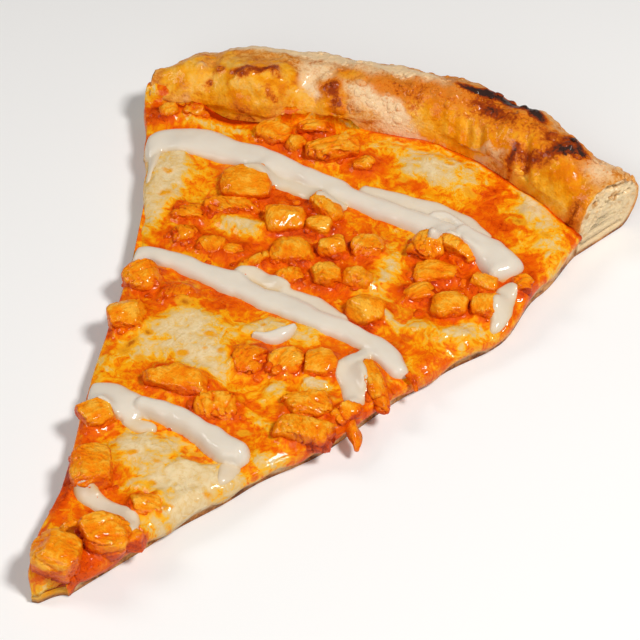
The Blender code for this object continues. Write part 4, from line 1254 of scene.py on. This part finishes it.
def scatter(name, piece, sown, sizes, material, seed, lift):
    """Sow lumps over a piece and keep them as a piece of their own; lift raises their material's values."""
    density, smallest, largest, flatness, lumpiness = sizes
    tree = scatter_nodes(name, density, smallest * MM, largest * MM, flatness, lumpiness * MM, seed)
    field = piece.data.copy()
    add_attribute(field, "sown", sown)
    holder = bpy.data.objects.new(name + "_field", field)
    bpy.context.scene.collection.objects.link(holder)
    step = holder.modifiers.new("Sow", "NODES")
    step.node_group = tree
    given = {"Density": density, "Smallest": smallest * MM, "Largest": largest * MM, "Flatness": flatness,
             "Lumpiness": lumpiness * MM, "Seed": seed, "Material": material}
    for socket in tree.interface.items_tree:
        if socket.in_out == "INPUT" and socket.name in given:
            step[socket.identifier] = given[socket.name]
    graph = bpy.context.evaluated_depsgraph_get()
    mesh = bpy.data.meshes.new_from_object(holder.evaluated_get(graph))
    bpy.data.objects.remove(holder, do_unlink=True)
    for label, value in lift.items():
        if label in mesh.attributes:
            value = value + values_of(mesh, label)
            mesh.attributes.remove(mesh.attributes[label])
        add_attribute(mesh, label, np.broadcast_to(value, len(mesh.vertices)))
    return finish_piece(name, mesh, material)


def places_of(mesh):
    """x, y and z of every point of a piece, in millimetres about the pizza's middle, and its normals' z."""
    spots = np.empty(len(mesh.vertices) * 3)
    mesh.vertices.foreach_get("co", spots)
    normals = np.empty(len(mesh.vertices) * 3)
    mesh.vertices.foreach_get("normal", normals)
    spots = spots.reshape(-1, 3) / MM + (0, ORIGIN_RADIUS, 0)
    return spots[:, 0], spots[:, 1], spots[:, 2], normals.reshape(-1, 3)[:, 2]


def values_of(mesh, label):
    """The values of a point attribute."""
    values = np.empty(len(mesh.vertices), np.float32)
    mesh.attributes[label].data.foreach_get("value", values)
    return values


# ---------------------------------------------------------------- settings and operators


class PizzaSliceSettings(bpy.types.PropertyGroup):
    """Sizes that a user may change before running the steps again."""

    cheese_spacing: FloatProperty(name="Cheese detail", description="Distance between points of the cheese",
                                  default=0.00062, min=0.0004, unit="LENGTH", precision=5)
    rim_relief: FloatProperty(name="Rim relief", description="Height of the rim's lumps and blisters",
                              default=0.0010, min=0.0, unit="LENGTH", precision=5)
    chicken_relief: FloatProperty(name="Chicken relief",
                                  description="Height of the chicken's fibres and lumps",
                                  default=0.0010, min=0.0, unit="LENGTH", precision=5)
    camera_azimuth: FloatProperty(name="Camera azimuth",
                                  description="Round the slice, 0 looks from tip to rim",
                                  default=radians(28.42), subtype="ANGLE")
    camera_elevation: FloatProperty(name="Camera elevation", description="Above the table",
                                    default=radians(47.13), subtype="ANGLE")
    camera_distance: FloatProperty(name="Camera distance", description="From the camera to the slice",
                                   default=0.4928, unit="LENGTH")
    key_power: FloatProperty(name="Key light", description="Power of the main softbox",
                             default=5.15, unit="POWER")


def settings_of(context):
    """The slice's settings in this scene."""
    return context.scene.pizza_slice


class PIZZA_OT_bake_crust(bpy.types.Operator):
    """Build the dough base and its browned rim"""

    bl_idname = "pizza.bake_crust"
    bl_label = "Bake Crust"

    def execute(self, context):
        build_crust(settings_of(context))
        return {"FINISHED"}


class PIZZA_OT_spread_sauce(bpy.types.Operator):
    """Build the thin layer of hot sauce"""

    bl_idname = "pizza.spread_sauce"
    bl_label = "Spread Sauce"

    def execute(self, context):
        build_sauce()
        return {"FINISHED"}


class PIZZA_OT_melt_cheese(bpy.types.Operator):
    """Build the melted cheese"""

    bl_idname = "pizza.melt_cheese"
    bl_label = "Melt Cheese"

    def execute(self, context):
        build_cheese(settings_of(context))
        return {"FINISHED"}


class PIZZA_OT_dice_chicken(bpy.types.Operator):
    """Build the diced chicken"""

    bl_idname = "pizza.dice_chicken"
    bl_label = "Dice Chicken"

    def execute(self, context):
        build_chicken(settings_of(context))
        return {"FINISHED"}


class PIZZA_OT_tear_shreds(bpy.types.Operator):
    """Add the torn threads and the small bits that lie in the sauce"""

    bl_idname = "pizza.tear_shreds"
    bl_label = "Tear Shreds"

    def execute(self, context):
        build_shreds()
        cheese = bpy.data.objects["cheese_melted"]
        x, y, z, up = places_of(cheese.data)
        state = values_of(cheese.data, "cheese_tone_and_shade")
        sauced = smoothstep(0.0, -0.35, state) * (up > 0.3) * smoothstep(-0.1, 0.4, grain(x, y, z, 6.0, 3.0))
        foot = read_table(RIM_FOOT, share_of(x, y)[1])
        sauced = sauced * (np.hypot(x, y) < foot - 2)
        scatter("chicken_bits", cheese, sauced, (9.0e4, 0.5, 1.3, 0.6, 1.0),
                bpy.data.materials[CHICKEN_FINISH], 5, {"rise": 0.4, "tone": 0.0})
        return {"FINISHED"}


class PIZZA_OT_blister_rim(bpy.types.Operator):
    """Add the tiny pale blisters of the rim's skin"""

    bl_idname = "pizza.blister_rim"
    bl_label = "Blister Rim"

    def execute(self, context):
        crust = bpy.data.objects["crust_baked"]
        x, y, z, up = places_of(crust.data)
        radius, share = share_of(x, y)
        foot = read_table(RIM_FOOT, np.clip(share, 0, 1))
        bubbly = (0.5 + values_of(crust.data, "floured")) * (up > -0.2) * (radius > foot + 1)
        bubbly = bubbly * smoothstep(0.2, 0.45, share) * (values_of(crust.data, "crumb") < 0.1)
        bubbly = bubbly * smoothstep(-0.2, 0.35, grain(x, y, z, 9.0, 70.0))
        scatter("rim_blisters", crust, bubbly, (1.1e5, 0.4, 1.15, 0.4, 0.1), crust.data.materials[0],
                3, {"floured": 0.14})
        return {"FINISHED"}


class PIZZA_OT_drizzle_ranch(bpy.types.Operator):
    """Pour the ranch over what is there"""

    bl_idname = "pizza.drizzle_ranch"
    bl_label = "Drizzle Ranch"

    def execute(self, context):
        corners, faces = [], []
        for name in ("cheese_melted", "chicken_diced"):
            mesh = bpy.data.objects[name].data
            start = len(corners)
            corners += [tuple(vert.co) for vert in mesh.vertices]
            sheet = [face for face in mesh.polygons if len(face.vertices) < 5]
            faces += [tuple(start + index for index in face.vertices) for face in sheet]
        build_ranch(BVHTree.FromPolygons(corners, faces))
        return {"FINISHED"}


class PIZZA_OT_set_stage(bpy.types.Operator):
    """Add the pale table, the soft studio light and the camera"""

    bl_idname = "pizza.set_stage"
    bl_label = "Set Stage"

    def execute(self, context):
        settings = settings_of(context)
        scene = context.scene
        scene.view_settings.view_transform = "Standard"
        bpy.ops.mesh.primitive_plane_add(size=6.0, location=(0, 0, -0.0002))
        table = context.object
        table.name = "table"
        table.data.materials.append(pale_table())
        world = bpy.data.worlds.new("studio")
        world.use_nodes = True
        world.node_tree.nodes["Background"].inputs["Color"].default_value = hex_colour("#F6F4F2")
        world.node_tree.nodes["Background"].inputs["Strength"].default_value = 0.1
        scene.world = world
        aim = Vector((0.0, 0.0, 0.01))
        for name, where, size, share in (
                ("key", Vector((0.44, 0.02, 0.70)), 0.16, 1.0),
                ("left", Vector((-0.60, -0.22, 0.58)), 0.3, 0.34),
                ("front", Vector((0.1, -0.72, 0.5)), 0.5, 0.42)):
            light = bpy.data.lights.new(name, "AREA")
            light.size = size
            light.energy = settings.key_power * share
            lamp = bpy.data.objects.new(name, light)
            lamp.location = where
            lamp.rotation_euler = (aim - where).to_track_quat("-Z", "Y").to_euler()
            scene.collection.objects.link(lamp)
        lens = bpy.data.cameras.new("camera")
        lens.sensor_width = 36.0
        lens.lens = 1800.0 * 36.0 / 640.0
        camera = bpy.data.objects.new("camera", lens)
        azimuth, elevation = settings.camera_azimuth, settings.camera_elevation
        back = Vector((sin(azimuth) * cos(elevation), -cos(azimuth) * cos(elevation), sin(elevation)))
        look_at = Vector((14.0, 127.4 - ORIGIN_RADIUS, 8.0)) * MM
        camera.location = look_at + back * settings.camera_distance
        camera.rotation_euler = (-back).to_track_quat("-Z", "Y").to_euler()
        scene.collection.objects.link(camera)
        scene.camera = camera
        return {"FINISHED"}


STEPS = (PIZZA_OT_bake_crust, PIZZA_OT_blister_rim, PIZZA_OT_spread_sauce, PIZZA_OT_melt_cheese,
         PIZZA_OT_dice_chicken, PIZZA_OT_tear_shreds, PIZZA_OT_drizzle_ranch, PIZZA_OT_set_stage)


class PIZZA_PT_panel(bpy.types.Panel):
    """The slice's settings and steps"""

    bl_idname = "PIZZA_PT_panel"
    bl_label = "Pizza Slice"
    bl_space_type = "VIEW_3D"
    bl_region_type = "UI"
    bl_category = "Pizza Slice"

    def draw(self, context):
        for label in PizzaSliceSettings.__annotations__:
            self.layout.prop(settings_of(context), label)
        for step in STEPS:
            self.layout.operator(step.bl_idname)


CLASSES = (PizzaSliceSettings, *STEPS, PIZZA_PT_panel)


def register():
    """Add the settings, the steps and the panel to Blender."""
    for kind in CLASSES:
        bpy.utils.register_class(kind)
    bpy.types.Scene.pizza_slice = PointerProperty(type=PizzaSliceSettings)


def unregister():
    """Take them away again."""
    del bpy.types.Scene.pizza_slice
    for kind in reversed(CLASSES):
        bpy.utils.unregister_class(kind)


def main():
    """Finish the slice step by step."""
    register()
    for thing in [item for item in bpy.data.objects if item.type in {"CAMERA", "LIGHT"}]:
        bpy.data.objects.remove(thing, do_unlink=True)
    bpy.ops.pizza.bake_crust()
    bpy.ops.pizza.blister_rim()
    bpy.ops.pizza.spread_sauce()
    bpy.ops.pizza.melt_cheese()
    bpy.ops.pizza.dice_chicken()
    bpy.ops.pizza.tear_shreds()
    bpy.ops.pizza.drizzle_ranch()
    bpy.ops.pizza.set_stage()


if __name__ == "__main__":
    main()
